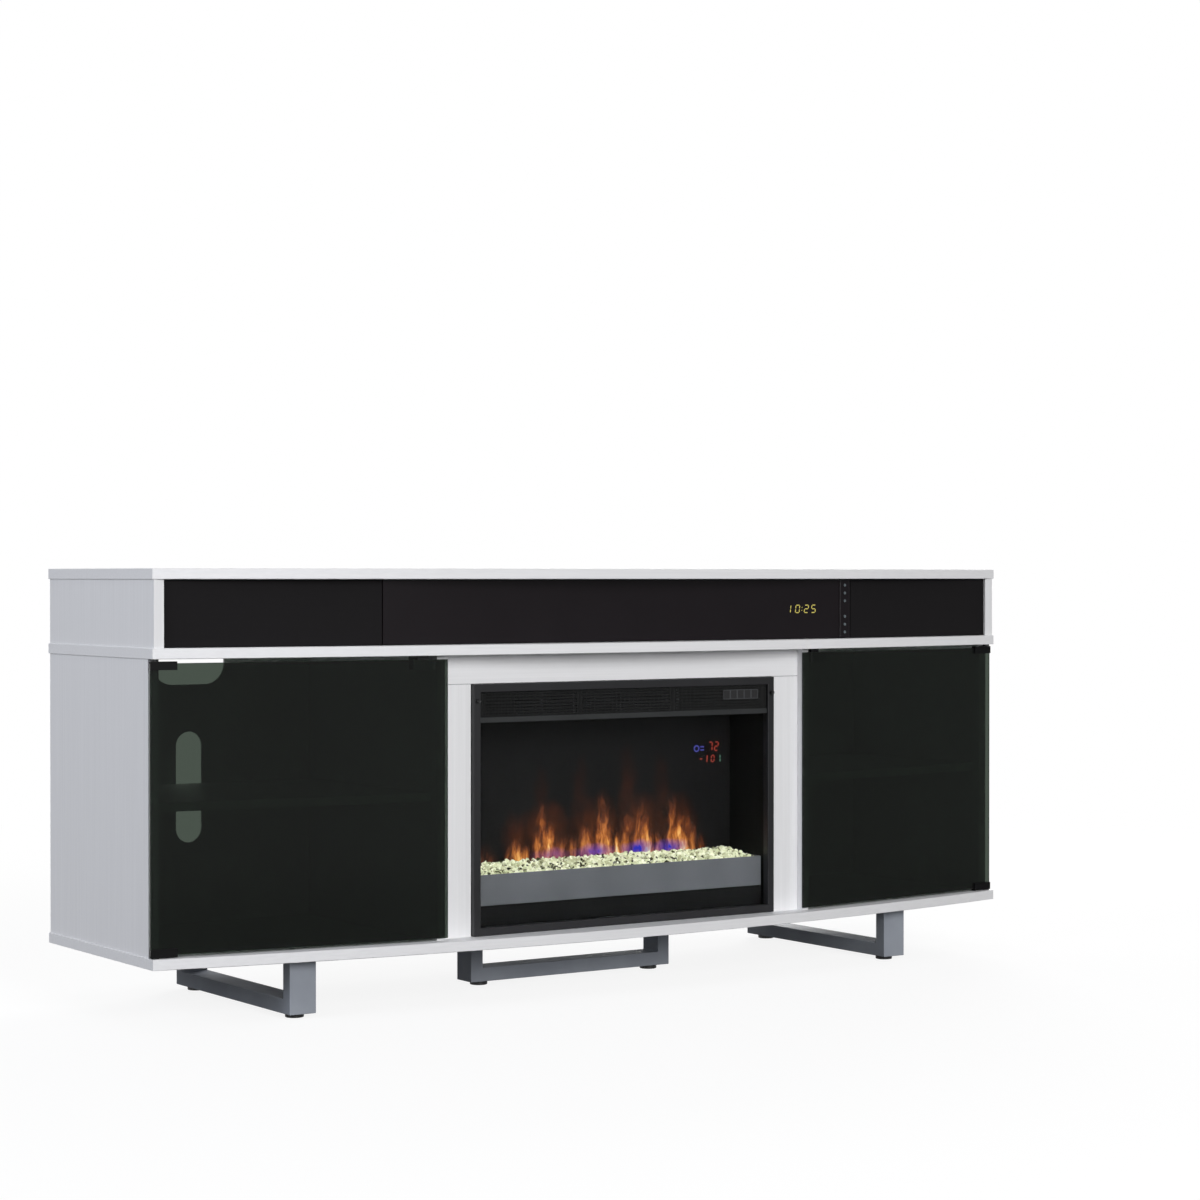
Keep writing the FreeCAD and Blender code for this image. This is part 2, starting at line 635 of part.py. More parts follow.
def surround():
    rail = block(-PARTITION_INNER_X, PARTITION_INNER_X, SURROUND_Y, SURROUND_BACK_Y, RAIL_Z, MID_Z)
    save("surround_rail", rail)
    stile = block(-PARTITION_INNER_X, -STILE_INNER_X, SURROUND_Y, SURROUND_BACK_Y, FLOOR_Z, RAIL_Z)
    save("surround_stiles", *both_sides(stile))


# Legs and levelling feet


def leg():
    """U-shaped tube frame along Y, from its own front bottom corner, with holes for feet and bolts."""
    half = TUBE_WIDTH / 2
    far = LEG_LENGTH - TUBE_DEPTH
    frame = block(-half, half, 0, LEG_LENGTH, 0, LEG_HEIGHT)
    frame = frame.cut(block(-half, half, TUBE_DEPTH, far, TUBE_DEPTH, LEG_HEIGHT))
    top_z = LEG_HEIGHT - TUBE_ROUND
    frame = eased(frame, TUBE_ROUND, lambda edge: edge.BoundBox.ZMin < top_z)
    bore = half - TUBE_WALL
    inner_depth = TUBE_DEPTH - TUBE_WALL
    runner = block(-bore, bore, TUBE_WALL, LEG_LENGTH - TUBE_WALL, TUBE_WALL, inner_depth)
    cap_z = LEG_HEIGHT - LEG_PLATE
    front = block(-bore, bore, TUBE_WALL, inner_depth, TUBE_WALL, cap_z)
    back = block(-bore, bore, LEG_LENGTH - inner_depth, LEG_LENGTH - TUBE_WALL, TUBE_WALL, cap_z)
    frame = frame.cut(fused([runner, front, back]))
    holes = []
    for y in (FOOT_INSET, LEG_LENGTH - FOOT_INSET):
        holes.append(rod(STUD_RADIUS + FIT_GAP, Vector(0, y, 0), Vector(0, y, TUBE_WALL)))
    for y in (TUBE_DEPTH / 2, LEG_LENGTH - TUBE_DEPTH / 2):
        for x in (-BOLT_SPREAD / 2, BOLT_SPREAD / 2):
            holes.append(rod(BOLT_RADIUS + FIT_GAP, Vector(x, y, cap_z), Vector(x, y, LEG_HEIGHT)))
    return frame.cut(holes)


def foot(x, y):
    """Levelling foot: round pad with its threaded stud up in the runner."""
    pad = rod(FOOT_RADIUS, Vector(x, y, 0), Vector(x, y, FOOT_HEIGHT))
    pad = eased(pad, FOOT_EASE, lambda edge: edge.BoundBox.ZMax < FOOT_HEIGHT / 2)
    stud = rod(STUD_RADIUS, Vector(x, y, FOOT_HEIGHT), Vector(x, y, FOOT_HEIGHT + STUD_LENGTH))
    return fused([pad, stud])


def legs():
    left = leg()
    left.translate(Vector(-LEG_X, LEG_Y, FOOT_HEIGHT))
    save("leg_left", left)
    save("leg_right", mirrored(left))
    centre = leg()
    centre.rotate(Vector(0, 0, 0), Vector(0, 0, 1), -90)
    centre.translate(Vector(-LEG_LENGTH / 2, 0, FOOT_HEIGHT))
    save("leg_centre", centre)
    save("leg_bolts", *[bolt(place, 0) for place in bolt_places()])
    front_y = LEG_Y + FOOT_INSET
    back_y = LEG_Y + LEG_LENGTH - FOOT_INSET
    middle_x = LEG_LENGTH / 2 - FOOT_INSET
    for name, x, y in (("left_front", -LEG_X, front_y), ("left_back", -LEG_X, back_y),
                       ("centre_left", -middle_x, 0), ("centre_right", middle_x, 0),
                       ("right_front", LEG_X, front_y), ("right_back", LEG_X, back_y)):
        save(f"foot_{name}", foot(x, y))


# Glass doors, their pivots and their push latches


def hinge_clamp(low_z, slot_low_z, slot_high_z, pin_from_z, pin_to_z):
    """Clamp on a corner of the glass, with its pivot pin, in the door's own frame."""
    back = DOOR_GLASS + CLAMP_WALL
    clamp = block(0, CLAMP_LENGTH, -CLAMP_WALL, back, low_z, low_z + CLAMP_HEIGHT)
    clamp = eased(clamp, CLAMP_WALL / 2, is_upright)
    clamp = clamp.cut(block(0, CLAMP_LENGTH, 0, DOOR_GLASS, slot_low_z, slot_high_z))
    into = DOOR_GLASS / 2
    pin = rod(PIVOT_RADIUS, Vector(PIVOT_INSET, into, pin_from_z), Vector(PIVOT_INSET, into, pin_to_z))
    return on_door(fused([clamp, pin]))


def hinge_bush(seat_z, clamp_z):
    """Flanged bush let into a board; its flange fills the gap to the clamp."""
    away = 1 if seat_z > clamp_z else -1
    seat = Vector(PIVOT.x, PIVOT.y, seat_z)
    rim = Vector(PIVOT.x, PIVOT.y, clamp_z + away * BUSH_PLAY)
    end = seat + Vector(0, 0, away * BUSH_DEPTH)
    bush = fused([rod(BUSH_RADIUS, rim, seat), rod(BUSH_SPIGOT_RADIUS, seat, end)])
    return bush.cut(rod(PIVOT_RADIUS + FIT_GAP, rim, end))


def latch(back_gap):
    """Housing and plunger of the left push latch, square to the closed door."""
    tip = DOOR_GLASS + STRIKE_THICK + PLUNGER_GAP
    mouth = tip + PLUNGER_OUT
    half = LATCH_WIDTH / 2
    body = block(LATCH_ALONG - half, LATCH_ALONG + half, mouth, mouth + LATCH_LENGTH,
                 LATCH_Z - LATCH_BELOW_AXIS, MID_Z)
    middle = Vector(LATCH_ALONG, 0, LATCH_Z)
    bore_end = Vector(0, mouth + PLUNGER_INSIDE + PLUNGER_TRAVEL + back_gap, 0)
    body = body.cut(rod(PLUNGER_RADIUS + FIT_GAP, middle + Vector(0, mouth, 0), middle + bore_end))
    plunger = rod(PLUNGER_RADIUS, middle + Vector(0, tip, 0), middle + Vector(0, mouth + PLUNGER_INSIDE, 0))
    return on_door(body), on_door(plunger)


def doors():
    glass = block(0, DOOR_LENGTH, 0, DOOR_GLASS, GLASS_BOTTOM_Z, GLASS_TOP_Z)
    glass = on_door(glass.makeChamfer(GLASS_EDGE, glass.Edges))
    top_clamp = hinge_clamp(CLAMP_TOP_Z - CLAMP_HEIGHT, CLAMP_TOP_Z - CLAMP_HEIGHT, GLASS_TOP_Z,
                            CLAMP_TOP_Z, MID_Z + PIVOT_ENTRY)
    bottom_clamp = hinge_clamp(CLAMP_BOTTOM_Z, GLASS_BOTTOM_Z, CLAMP_BOTTOM_Z + CLAMP_HEIGHT,
                               FLOOR_Z - PIVOT_ENTRY, CLAMP_BOTTOM_Z)
    strike_end = DOOR_LENGTH - STRIKE_INSET
    strike = on_door(block(strike_end - STRIKE_WIDTH, strike_end, DOOR_GLASS, DOOR_GLASS + STRIKE_THICK,
                           GLASS_TOP_Z - STRIKE_HEIGHT, GLASS_TOP_Z))
    housing, plunger = latch(back_gap=PLUNGER_TRAVEL / 2)
    for side, place in (("left", lambda shape: shape), ("right", mirrored)):
        save(f"door_glass_{side}", place(glass))
        save(f"hinge_clamps_{side}", place(top_clamp), place(bottom_clamp))
        save(f"strike_plate_{side}", place(strike))
        save(f"latch_plunger_{side}", place(plunger))
    save("latch_housings", *both_sides(housing))
    bushes = [hinge_bush(MID_Z, CLAMP_TOP_Z), hinge_bush(FLOOR_Z, CLAMP_BOTTOM_Z)]
    save("hinge_bushes", *bushes, *[mirrored(bush) for bush in bushes])


# Fire insert: bezel, glass, air outlet and housing


def insert_front():
    half = INSERT_WIDTH / 2
    bezel = block(-half, half, BEZEL_Y, BEZEL_BACK_Y, BEZEL_BOTTOM_Z, BEZEL_TOP_Z)
    bezel = bezel.cut(block(-OPENING_HALF, OPENING_HALF, BEZEL_Y, BEZEL_BACK_Y, OPENING_BOTTOM_Z, OPENING_TOP_Z))
    bezel = eased(bezel, BEZEL_EASE, lambda edge: edge.BoundBox.YMax < BEZEL_Y + BEZEL_EASE)
    screw_x = half - BEZEL_BAR / 2
    screw_z = BEZEL_TOP_Z - THUMBSCREW_DROP
    head_y = BEZEL_Y - THUMBSCREW_HEAD
    face = Vector(-screw_x, BEZEL_Y, screw_z)
    head = rod(THUMBSCREW_RADIUS, Vector(-screw_x, head_y, screw_z), face)
    stem_end = Vector(-screw_x, BEZEL_BACK_Y, screw_z)
    hole = rod(THUMBSCREW_STEM_RADIUS + FIT_GAP, face, stem_end)
    save("insert_bezel", bezel.cut(both_sides(hole)))
    screw = fused([head, rod(THUMBSCREW_STEM_RADIUS, face, stem_end)])
    save("bezel_thumbscrews", *both_sides(screw))
    pane_half = OPENING_HALF - PANE_PLAY
    save("insert_glass", block(-pane_half, pane_half, PANE_Y, PANE_Y + PANE,
                               OPENING_BOTTOM_Z + PANE_PLAY, LIP_Z - PANE_PLAY))


def air_outlet():
    """Slotted outlet plate above the glass, and the lip that it stands on."""
    half = OPENING_HALF - PANE_PLAY
    top_z = OPENING_TOP_Z - PANE_PLAY
    plate = block(-half, half, PANE_Y, PANE_Y + OUTLET_THICK, OUTLET_Z, top_z)
    pitch = (top_z - OUTLET_Z) / (OUTLET_SLOTS + 1)
    column = (2 * half - OUTLET_RIB) / OUTLET_COLUMNS
    slots = []
    for row in range(OUTLET_SLOTS):
        z = OUTLET_Z + (row + 1) * pitch - OUTLET_SLOT_HEIGHT / 2
        for place in range(OUTLET_COLUMNS):
            x = -half + OUTLET_RIB + place * column
            slots.append(block(x, x + column - OUTLET_RIB, PANE_Y, PANE_Y + OUTLET_THICK,
                               z, z + OUTLET_SLOT_HEIGHT))
    save("outlet_grille", plate.cut(slots))
    lip_half = OPENING_HALF - LIP_SIDE_PLAY
    lip_y = BEZEL_Y + LIP_RECESS
    save("outlet_lip", block(-lip_half, lip_half, lip_y, lip_y + LIP_DEPTH, LIP_Z, OUTLET_Z))


def spindle_end():
    """Face of the spindle's far bearing, on the right."""
    return SPINDLE_HALF + MOTOR_GAP


def housing_walls():
    outer = block(-HOUSING_HALF, HOUSING_HALF, BEZEL_BACK_Y, HOUSING_BACK_Y, FLOOR_Z, HOUSING_TOP_Z)
    inside = block(-OPENING_HALF, OPENING_HALF, BEZEL_BACK_Y, INNER_BACK_Y, INNER_FLOOR_Z, HOUSING_TOP_Z - SHEET)
    baffle = block(-OPENING_HALF, OPENING_HALF, BEZEL_BACK_Y, INNER_BACK_Y, BAFFLE_Z - SHEET, BAFFLE_Z)
    plinth_front = block(-OPENING_HALF, OPENING_HALF, PLINTH_Y, PLINTH_Y + SHEET, INNER_FLOOR_Z, PLINTH_TOP_Z)
    plinth_top = block(-OPENING_HALF, OPENING_HALF, PLINTH_Y, SCREEN_BACK_Y, PLINTH_TOP_Z - SHEET, PLINTH_TOP_Z)
    bearing = block(spindle_end(), spindle_end() + BRACKET_THICK, SPINDLE_Y - BRACKET_WIDTH / 2,
                    SPINDLE_Y + BRACKET_WIDTH / 2, INNER_FLOOR_Z, SPINDLE_Z + BRACKET_WIDTH / 2)
    wing = block(-HOUSING_HALF - FLANGE_WIDTH, -HOUSING_HALF, SURROUND_BACK_Y, SURROUND_BACK_Y + SHEET,
                 FLOOR_Z + FLANGE_FROM_END, HOUSING_TOP_Z - FLANGE_FROM_END)
    return fused([outer.cut(inside), baffle, plinth_front, plinth_top, bearing] + both_sides(wing))


def housing_holes():
    holes = []
    vent_z = (BAFFLE_Z + HOUSING_TOP_Z) / 2
    for row in range(VENT_ROWS):
        z = vent_z + (row - (VENT_ROWS - 1) / 2) * VENT_PITCH_Z
        for column in range(VENT_COLUMNS):
            x = (column - (VENT_COLUMNS - 1) / 2) * VENT_PITCH_X
            holes.append(block(x - VENT_WIDTH / 2, x + VENT_WIDTH / 2, INNER_BACK_Y, HOUSING_BACK_Y,
                               z - VENT_HEIGHT / 2, z + VENT_HEIGHT / 2))
    inlet_z = INNER_FLOOR_Z + INLET_RISE
    holes.append(rod(INLET_RADIUS + FIT_GAP, Vector(INLET_X, INNER_BACK_Y, inlet_z),
                     Vector(INLET_X, HOUSING_BACK_Y, inlet_z)))
    end = Vector(spindle_end(), SPINDLE_Y, SPINDLE_Z)
    holes.append(rod(SPINDLE_RADIUS + FIT_GAP, end, end + Vector(BRACKET_THICK, 0, 0)))
    return holes


def power_inlet():
    """Flanged gland in the back of the housing, where the mains lead goes in."""
    z = INNER_FLOOR_Z + INLET_RISE
    face = Vector(INLET_X, HOUSING_BACK_Y, z)
    rim = face + Vector(0, INLET_FLANGE, 0)
    end = rim - Vector(0, INLET_DEPTH, 0)
    gland = fused([rod(INLET_FLANGE_RADIUS, face, rim), rod(INLET_RADIUS, end, face)])
    return gland.cut(rod(INLET_BORE, end, rim))


# Embers, flame screen and flame spindle


def embers():
    """Folded tray with its bed of crushed glass, which rises towards the flame screen."""
    half = TRAY_HALF_WIDTH
    front = block(-half, half, BEZEL_BACK_Y, BEZEL_BACK_Y + SHEET, TRAY_BOTTOM_Z, TRAY_TOP_Z)
    floor = block(-half, half, BEZEL_BACK_Y, TRAY_BACK_Y, TRAY_FLOOR_Z, TRAY_FLOOR_Z + SHEET)
    back = block(-half, half, TRAY_BACK_Y - SHEET, TRAY_BACK_Y, TRAY_FLOOR_Z, TRAY_TOP_Z)
    foot_y = PLINTH_Y + SHEET
    cheeks = [block(x, x + SHEET, foot_y, TRAY_BACK_Y, PLINTH_TOP_Z, TRAY_TOP_Z) for x in (-half, half - SHEET)]
    cheeks += [block(x, x + SHEET, BEZEL_BACK_Y, foot_y, TRAY_BOTTOM_Z, TRAY_TOP_Z) for x in (-half, half - SHEET)]
    save("ember_tray", fused([front, floor, back] + cheeks))
    bed_half = half - SHEET - EMBER_PLAY
    y0 = BEZEL_BACK_Y + SHEET + EMBER_PLAY
    y1 = TRAY_BACK_Y - SHEET - EMBER_PLAY
    low_z = TRAY_FLOOR_Z + SHEET
    section = [(y0, low_z), (y1, low_z), (y1, TRAY_TOP_Z + EMBER_BACK_RISE), (y0, TRAY_TOP_Z - EMBER_FRONT_DROP)]
    points = [Vector(-bed_half, y, z) for y, z in section]
    bed = Part.Face(Part.makePolygon(points + points[:1])).extrude(Vector(2 * bed_half, 0, 0))
    save("ember_glass", bed)
    save("flame_screen", block(-OPENING_HALF, OPENING_HALF, SCREEN_Y, SCREEN_BACK_Y,
                               PLINTH_TOP_Z, BAFFLE_Z - SHEET))


def flame_spindle():
    """Rod with bright flags set round it in a spiral."""
    start = Vector(-spindle_end() - SHAFT_ENTRY, SPINDLE_Y, SPINDLE_Z)
    end = Vector(spindle_end() + BRACKET_THICK, SPINDLE_Y, SPINDLE_Z)
    pieces = [rod(SPINDLE_RADIUS, start, end)]
    step = 2 * SPINDLE_HALF / SPINDLE_FLAGS
    for place in range(SPINDLE_FLAGS):
        x = -SPINDLE_HALF + (place + 0.5) * step
        flag = block(x - FLAG_WIDTH / 2, x + FLAG_WIDTH / 2, SPINDLE_Y - FLAG_THICK / 2,
                     SPINDLE_Y + FLAG_THICK / 2, SPINDLE_Z - FLAG_REACH, SPINDLE_Z + FLAG_REACH)
        flag.rotate(Vector(x, SPINDLE_Y, SPINDLE_Z), Vector(1, 0, 0), place * FLAG_TURN)
        pieces.append(flag)
    return fused(pieces)


def spindle_motor():
    """Small motor on an upright bracket at the left end of the spindle."""
    face = Vector(-spindle_end(), SPINDLE_Y, SPINDLE_Z)
    body = rod(MOTOR_RADIUS, face - Vector(MOTOR_LENGTH, 0, 0), face)
    bracket = block(face.x - BRACKET_THICK, face.x, SPINDLE_Y - BRACKET_WIDTH / 2, SPINDLE_Y + BRACKET_WIDTH / 2,
                    INNER_FLOOR_Z, SPINDLE_Z + BRACKET_WIDTH / 2)
    shaft_hole = rod(SPINDLE_RADIUS + FIT_GAP, face - Vector(SHAFT_ENTRY + FIT_GAP, 0, 0), face)
    return fused([body, bracket]).cut(shaft_hole)


# Blower and heater above the baffle


def blower_wheel():
    """Cross-flow wheel: blades between discs, on a shaft into the motor on the right."""
    axis = Vector(0, BLOWER_Y, BLOWER_Z)
    half = BLOWER_HALF - WHEEL_GAP
    shaft_start = axis - Vector(BLOWER_HALF + SHEET, 0, 0)
    pieces = [rod(SPINDLE_RADIUS, shaft_start, axis + Vector(BLOWER_HALF + SHEET + SHAFT_ENTRY, 0, 0))]
    for place in range(WHEEL_DISCS):
        x = -half + place * (2 * half - WHEEL_DISC) / (WHEEL_DISCS - 1)
        pieces.append(rod(WHEEL_RADIUS, axis + Vector(x, 0, 0), axis + Vector(x + WHEEL_DISC, 0, 0)))
    for place in range(WHEEL_BLADES):
        blade = block(-half, half, BLOWER_Y - WHEEL_BLADE_THICK / 2, BLOWER_Y + WHEEL_BLADE_THICK / 2,
                      BLOWER_Z + WHEEL_RADIUS - WHEEL_BLADE_DEPTH, BLOWER_Z + WHEEL_RADIUS - WHEEL_BLADE_THICK)
        blade.rotate(axis, Vector(1, 0, 0), place * 360 / WHEEL_BLADES)
        pieces.append(blade)
    return fused(pieces)


def scroll_section(x, radius):
    """Filled section of the scroll: round at the back, straight towards its mouth."""
    mouth_y = BLOWER_Y - SCROLL_MOUTH
    top = Vector(x, BLOWER_Y, BLOWER_Z + radius)
    low = Vector(x, BLOWER_Y, BLOWER_Z - radius)
    mouth_top = Vector(x, mouth_y, BLOWER_Z + radius)
    mouth_low = Vector(x, mouth_y, BLOWER_Z - radius)
    arc = Part.Arc(top, Vector(x, BLOWER_Y + radius, BLOWER_Z), low).toShape()
    lines = [Part.makeLine(low, mouth_low), Part.makeLine(mouth_low, mouth_top), Part.makeLine(mouth_top, top)]
    return Part.Face(Part.Wire([arc] + lines))


def blower_scroll():
    end = BLOWER_HALF + SHEET
    outer = scroll_section(-end, SCROLL_RADIUS).extrude(Vector(2 * end, 0, 0))
    inner = scroll_section(-BLOWER_HALF, SCROLL_RADIUS - SHEET).extrude(Vector(2 * BLOWER_HALF, 0, 0))
    axis = Vector(0, BLOWER_Y, BLOWER_Z)
    shaft = rod(SPINDLE_RADIUS + FIT_GAP, axis - Vector(end, 0, 0), axis + Vector(end, 0, 0))
    return outer.cut([inner, shaft])


def blower_motor():
    face = Vector(BLOWER_HALF + SHEET, BLOWER_Y, BLOWER_Z)
    body = rod(MOTOR_RADIUS, face, face + Vector(MOTOR_LENGTH, 0, 0))
    return body.cut(rod(SPINDLE_RADIUS + FIT_GAP, face, face + Vector(SHAFT_ENTRY + FIT_GAP, 0, 0)))


def heating_element():
    """Finned heater in a frame, across the mouth of the scroll."""
    back_y = BLOWER_Y - SCROLL_MOUTH
    front_y = back_y - HEATER_DEPTH
    top_z = BAFFLE_Z + 2 * SCROLL_RADIUS
    outer = block(-BLOWER_HALF, BLOWER_HALF, front_y, back_y, BAFFLE_Z, top_z)
    open_half = BLOWER_HALF - HEATER_FRAME
    inner = block(-open_half, open_half, front_y, back_y, BAFFLE_Z + HEATER_FRAME, top_z - HEATER_FRAME)
    fins = []
    pitch = 2 * open_half / (HEATER_FINS + 1)
    for place in range(HEATER_FINS):
        x = -open_half + (place + 1) * pitch
        fins.append(block(x - HEATER_FIN_THICK / 2, x + HEATER_FIN_THICK / 2, front_y, back_y,
                          BAFFLE_Z + HEATER_FRAME, top_z - HEATER_FRAME))
    return fused([outer.cut(inner)] + fins)


# Circuit boards


def board_on_posts(x0, x1, y0, y1, z):
    """Level board on four round posts that stand on a floor."""
    inset = BOARD_LIFT
    pieces = [block(x0, x1, y0, y1, z + BOARD_LIFT, z + BOARD_LIFT + BOARD_THICK)]
    for x in (x0 + inset, x1 - inset):
        for y in (y0 + inset, y1 - inset):
            pieces.append(rod(BOARD_LIFT / 2, Vector(x, y, z), Vector(x, y, z + BOARD_LIFT)))
    return fused(pieces)


def control_board():
    """Upright board on four posts from the back wall of the housing."""
    board = board_on_posts(-CONTROL_WIDTH / 2, CONTROL_WIDTH / 2, -CONTROL_HEIGHT / 2, CONTROL_HEIGHT / 2, 0)
    board.rotate(Vector(0, 0, 0), Vector(1, 0, 0), 90)
    board.translate(Vector(CONTROL_X, INNER_BACK_Y, INNER_FLOOR_Z + CONTROL_RISE))
    return board


def circuit_boards():
    light_y = SPINDLE_Y - LIGHT_BOARD_DEPTH / 2
    light = board_on_posts(-LIGHT_BOARD_HALF, LIGHT_BOARD_HALF, light_y, light_y + LIGHT_BOARD_DEPTH, INNER_FLOOR_Z)
    z = FLOOR_Z + DISPLAY_RISE
    display = block(DISPLAY_X - DISPLAY_WIDTH / 2, DISPLAY_X + DISPLAY_WIDTH / 2, SCREEN_BACK_Y,
                    SCREEN_BACK_Y + DISPLAY_DEPTH, z - DISPLAY_HEIGHT / 2, z + DISPLAY_HEIGHT / 2)
    amp_y = (FACE_BACK_Y + ENCLOSURE_BACK_Y) / 2 - AMP_DEPTH / 2
    amplifier = board_on_posts(-AMP_WIDTH / 2, AMP_WIDTH / 2, amp_y, amp_y + AMP_DEPTH, SOUND_Z + ENCLOSURE_WALL)
    save("circuit_boards", light, control_board(), display, amplifier)


def fire_insert():
    insert_front()
    air_outlet()
    save("insert_housing", housing_walls().cut(housing_holes()))
    save("power_inlet", power_inlet())
    embers()
    save("flame_spindle", flame_spindle())
    save("spindle_motor", spindle_motor())
    save("blower_wheel", blower_wheel())
    save("blower_scroll", blower_scroll())
    save("blower_motor", blower_motor())
    save("heating_element", heating_element())


# Soundbar


def button_points():
    """Middle of each button on the front of the control strip, from the top down."""
    return [Vector(POD_X, POD_Y, SOUND_MID_Z + step * BUTTON_PITCH) for step in BUTTON_STEPS]


def button(front):
    """Round cap in front, a collar that keeps it in, and a stem to its switch."""
    tip = front - Vector(0, BUTTON_PROUD, 0)
    shoulder = front + Vector(0, BUTTON_CAP, 0)
    collar_end = shoulder + Vector(0, BUTTON_COLLAR, 0)
    stem_end = Vector(front.x, FACE_BACK_Y - BUTTON_STEM_GAP, front.z)
    return fused([rod(BUTTON_RADIUS, tip, shoulder), rod(BUTTON_COLLAR_RADIUS, shoulder, collar_end),
                  rod(BUTTON_STEM_RADIUS, collar_end, stem_end)])


def button_hole(front):
    shoulder = front + Vector(0, BUTTON_CAP, 0)
    back = Vector(front.x, FACE_BACK_Y, front.z)
    return fused([rod(BUTTON_RADIUS + BUTTON_PLAY, front, shoulder),
                  rod(BUTTON_COLLAR_RADIUS + BUTTON_PLAY, shoulder, back)])


def soundbar_face():
    """Flat middle face with the raised control strip near its right end."""
    z0 = SOUND_Z + FACE_PLAY
    z1 = TOP_Z - FACE_PLAY
    plate = block(-FACE_HALF, FACE_HALF, FACE_Y, FACE_BACK_Y, z0, z1)
    pod = block(POD_X - POD_WIDTH / 2, POD_X + POD_WIDTH / 2, POD_Y, FACE_BACK_Y, z0, z1)
    pod = eased(pod, POD_ROUND, lambda edge: is_upright(edge) and edge.BoundBox.YMax < FACE_Y)
    return fused([plate, pod]).cut([button_hole(front) for front in button_points()])


def speaker_grille():
    """Left grille: a shallow frame with a flat skin in front."""
    z0 = SOUND_Z + FACE_PLAY
    z1 = TOP_Z - FACE_PLAY
    frame = block(0, GRILLE_LENGTH, 0, GRILLE_THICK, z0, z1)
    hollow = block(GRILLE_RIM, GRILLE_LENGTH - GRILLE_RIM, GRILLE_SKIN, GRILLE_THICK, z0 + GRILLE_RIM, z1 - GRILLE_RIM)
    return on_grille(frame.cut(hollow))


def driver_frame(along):
    """Middle of a driver on the front of the enclosure, and the way it points inward."""
    front = grille_point(along, GRILLE_THICK, SOUND_MID_Z)
    return front, grille_point(along, GRILLE_THICK + 1, SOUND_MID_Z) - front


def enclosure_outline(inset):
    """Plan of the enclosure, drawn in by a wall thickness."""
    end = grille_point(inset, GRILLE_THICK + inset, 0)
    inner = grille_point(GRILLE_LENGTH, GRILLE_THICK + inset, 0)
    left = [(end.x, ENCLOSURE_BACK_Y - inset), (end.x, end.y), (inner.x, inner.y), (inner.x, FACE_BACK_Y + inset)]
    right = [(-x, y) for x, y in reversed(left)]
    return left + right


def driver(front, inward):
    """Speaker driver turned from its section: flange, basket, magnet, and a dished cone with its cap."""
    basket_end = DRIVER_BASKET_DEPTH
    section = [(0, DRIVER_DISH - DRIVER_FLANGE), (DRIVER_CAP_RADIUS, DRIVER_DISH),
               (DRIVER_BASKET_RADIUS, -DRIVER_FLANGE), (DRIVER_FLANGE_RADIUS, -DRIVER_FLANGE),
               (DRIVER_FLANGE_RADIUS, 0), (DRIVER_BASKET_RADIUS, 0), (DRIVER_NECK_RADIUS, basket_end),
               (DRIVER_MAGNET_RADIUS, basket_end), (DRIVER_MAGNET_RADIUS, basket_end + DRIVER_MAGNET),
               (0, basket_end + DRIVER_MAGNET)]
    points = [Vector(radius, 0, depth) for radius, depth in section]
    turned = Part.Face(Part.makePolygon(points + points[:1])).revolve(Vector(0, 0, 0), Vector(0, 0, 1), 360)
    turned.Placement = FreeCAD.Placement(front, FreeCAD.Rotation(Vector(0, 0, 1), inward))
    return turned


def soundbar():
    save("soundbar_face", soundbar_face())
    save("speaker_grilles", *both_sides(speaker_grille()))
    outer = prism(enclosure_outline(0), SOUND_Z, ENCLOSURE_TOP_Z)
    hollow = prism(enclosure_outline(ENCLOSURE_WALL), SOUND_Z + ENCLOSURE_WALL, ENCLOSURE_TOP_Z - ENCLOSURE_WALL)
    places = [driver_frame(share * GRILLE_LENGTH) for share in DRIVER_PLACES]
    holes = [rod(DRIVER_HOLE_RADIUS, front, front + inward * 2 * ENCLOSURE_WALL) for front, inward in places]
    holes += [mirrored(hole) for hole in holes]
    save("soundbar_enclosure", outer.cut([hollow] + holes))
    drivers = [driver(front, inward) for front, inward in places]
    save("speaker_drivers", *drivers, *[mirrored(piece) for piece in drivers])
    for number, front in enumerate(button_points(), start=1):
        save(f"soundbar_button_{number}", button(front))


def print_joint_places():
    """Places that the joints and openings are stated at."""
    print("left pivot", round(PIVOT.x, 3), round(PIVOT.y, 3))
    inward = door_point(0, 1, 0) - door_point(0, 0, 0)
    print("left latch axis", round(inward.x, 5), round(inward.y, 5))
    print("flame spindle", round(SPINDLE_Y, 3), round(SPINDLE_Z, 3))
    print("blower", round(BLOWER_Y, 3), round(BLOWER_Z, 3))
    print("lower side front", round(LOWER_SIDE_Y, 3), "partition front", round(PARTITION_Y, 3))


os.makedirs("parts", exist_ok=True)
carcass_panels()
upright_boards()
shelves()
backs()
surround()
legs()
doors()
fire_insert()
circuit_boards()
soundbar()
print_joint_places()
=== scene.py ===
import math
import random

import bmesh
import bpy
from mathutils import Euler, Matrix, Vector


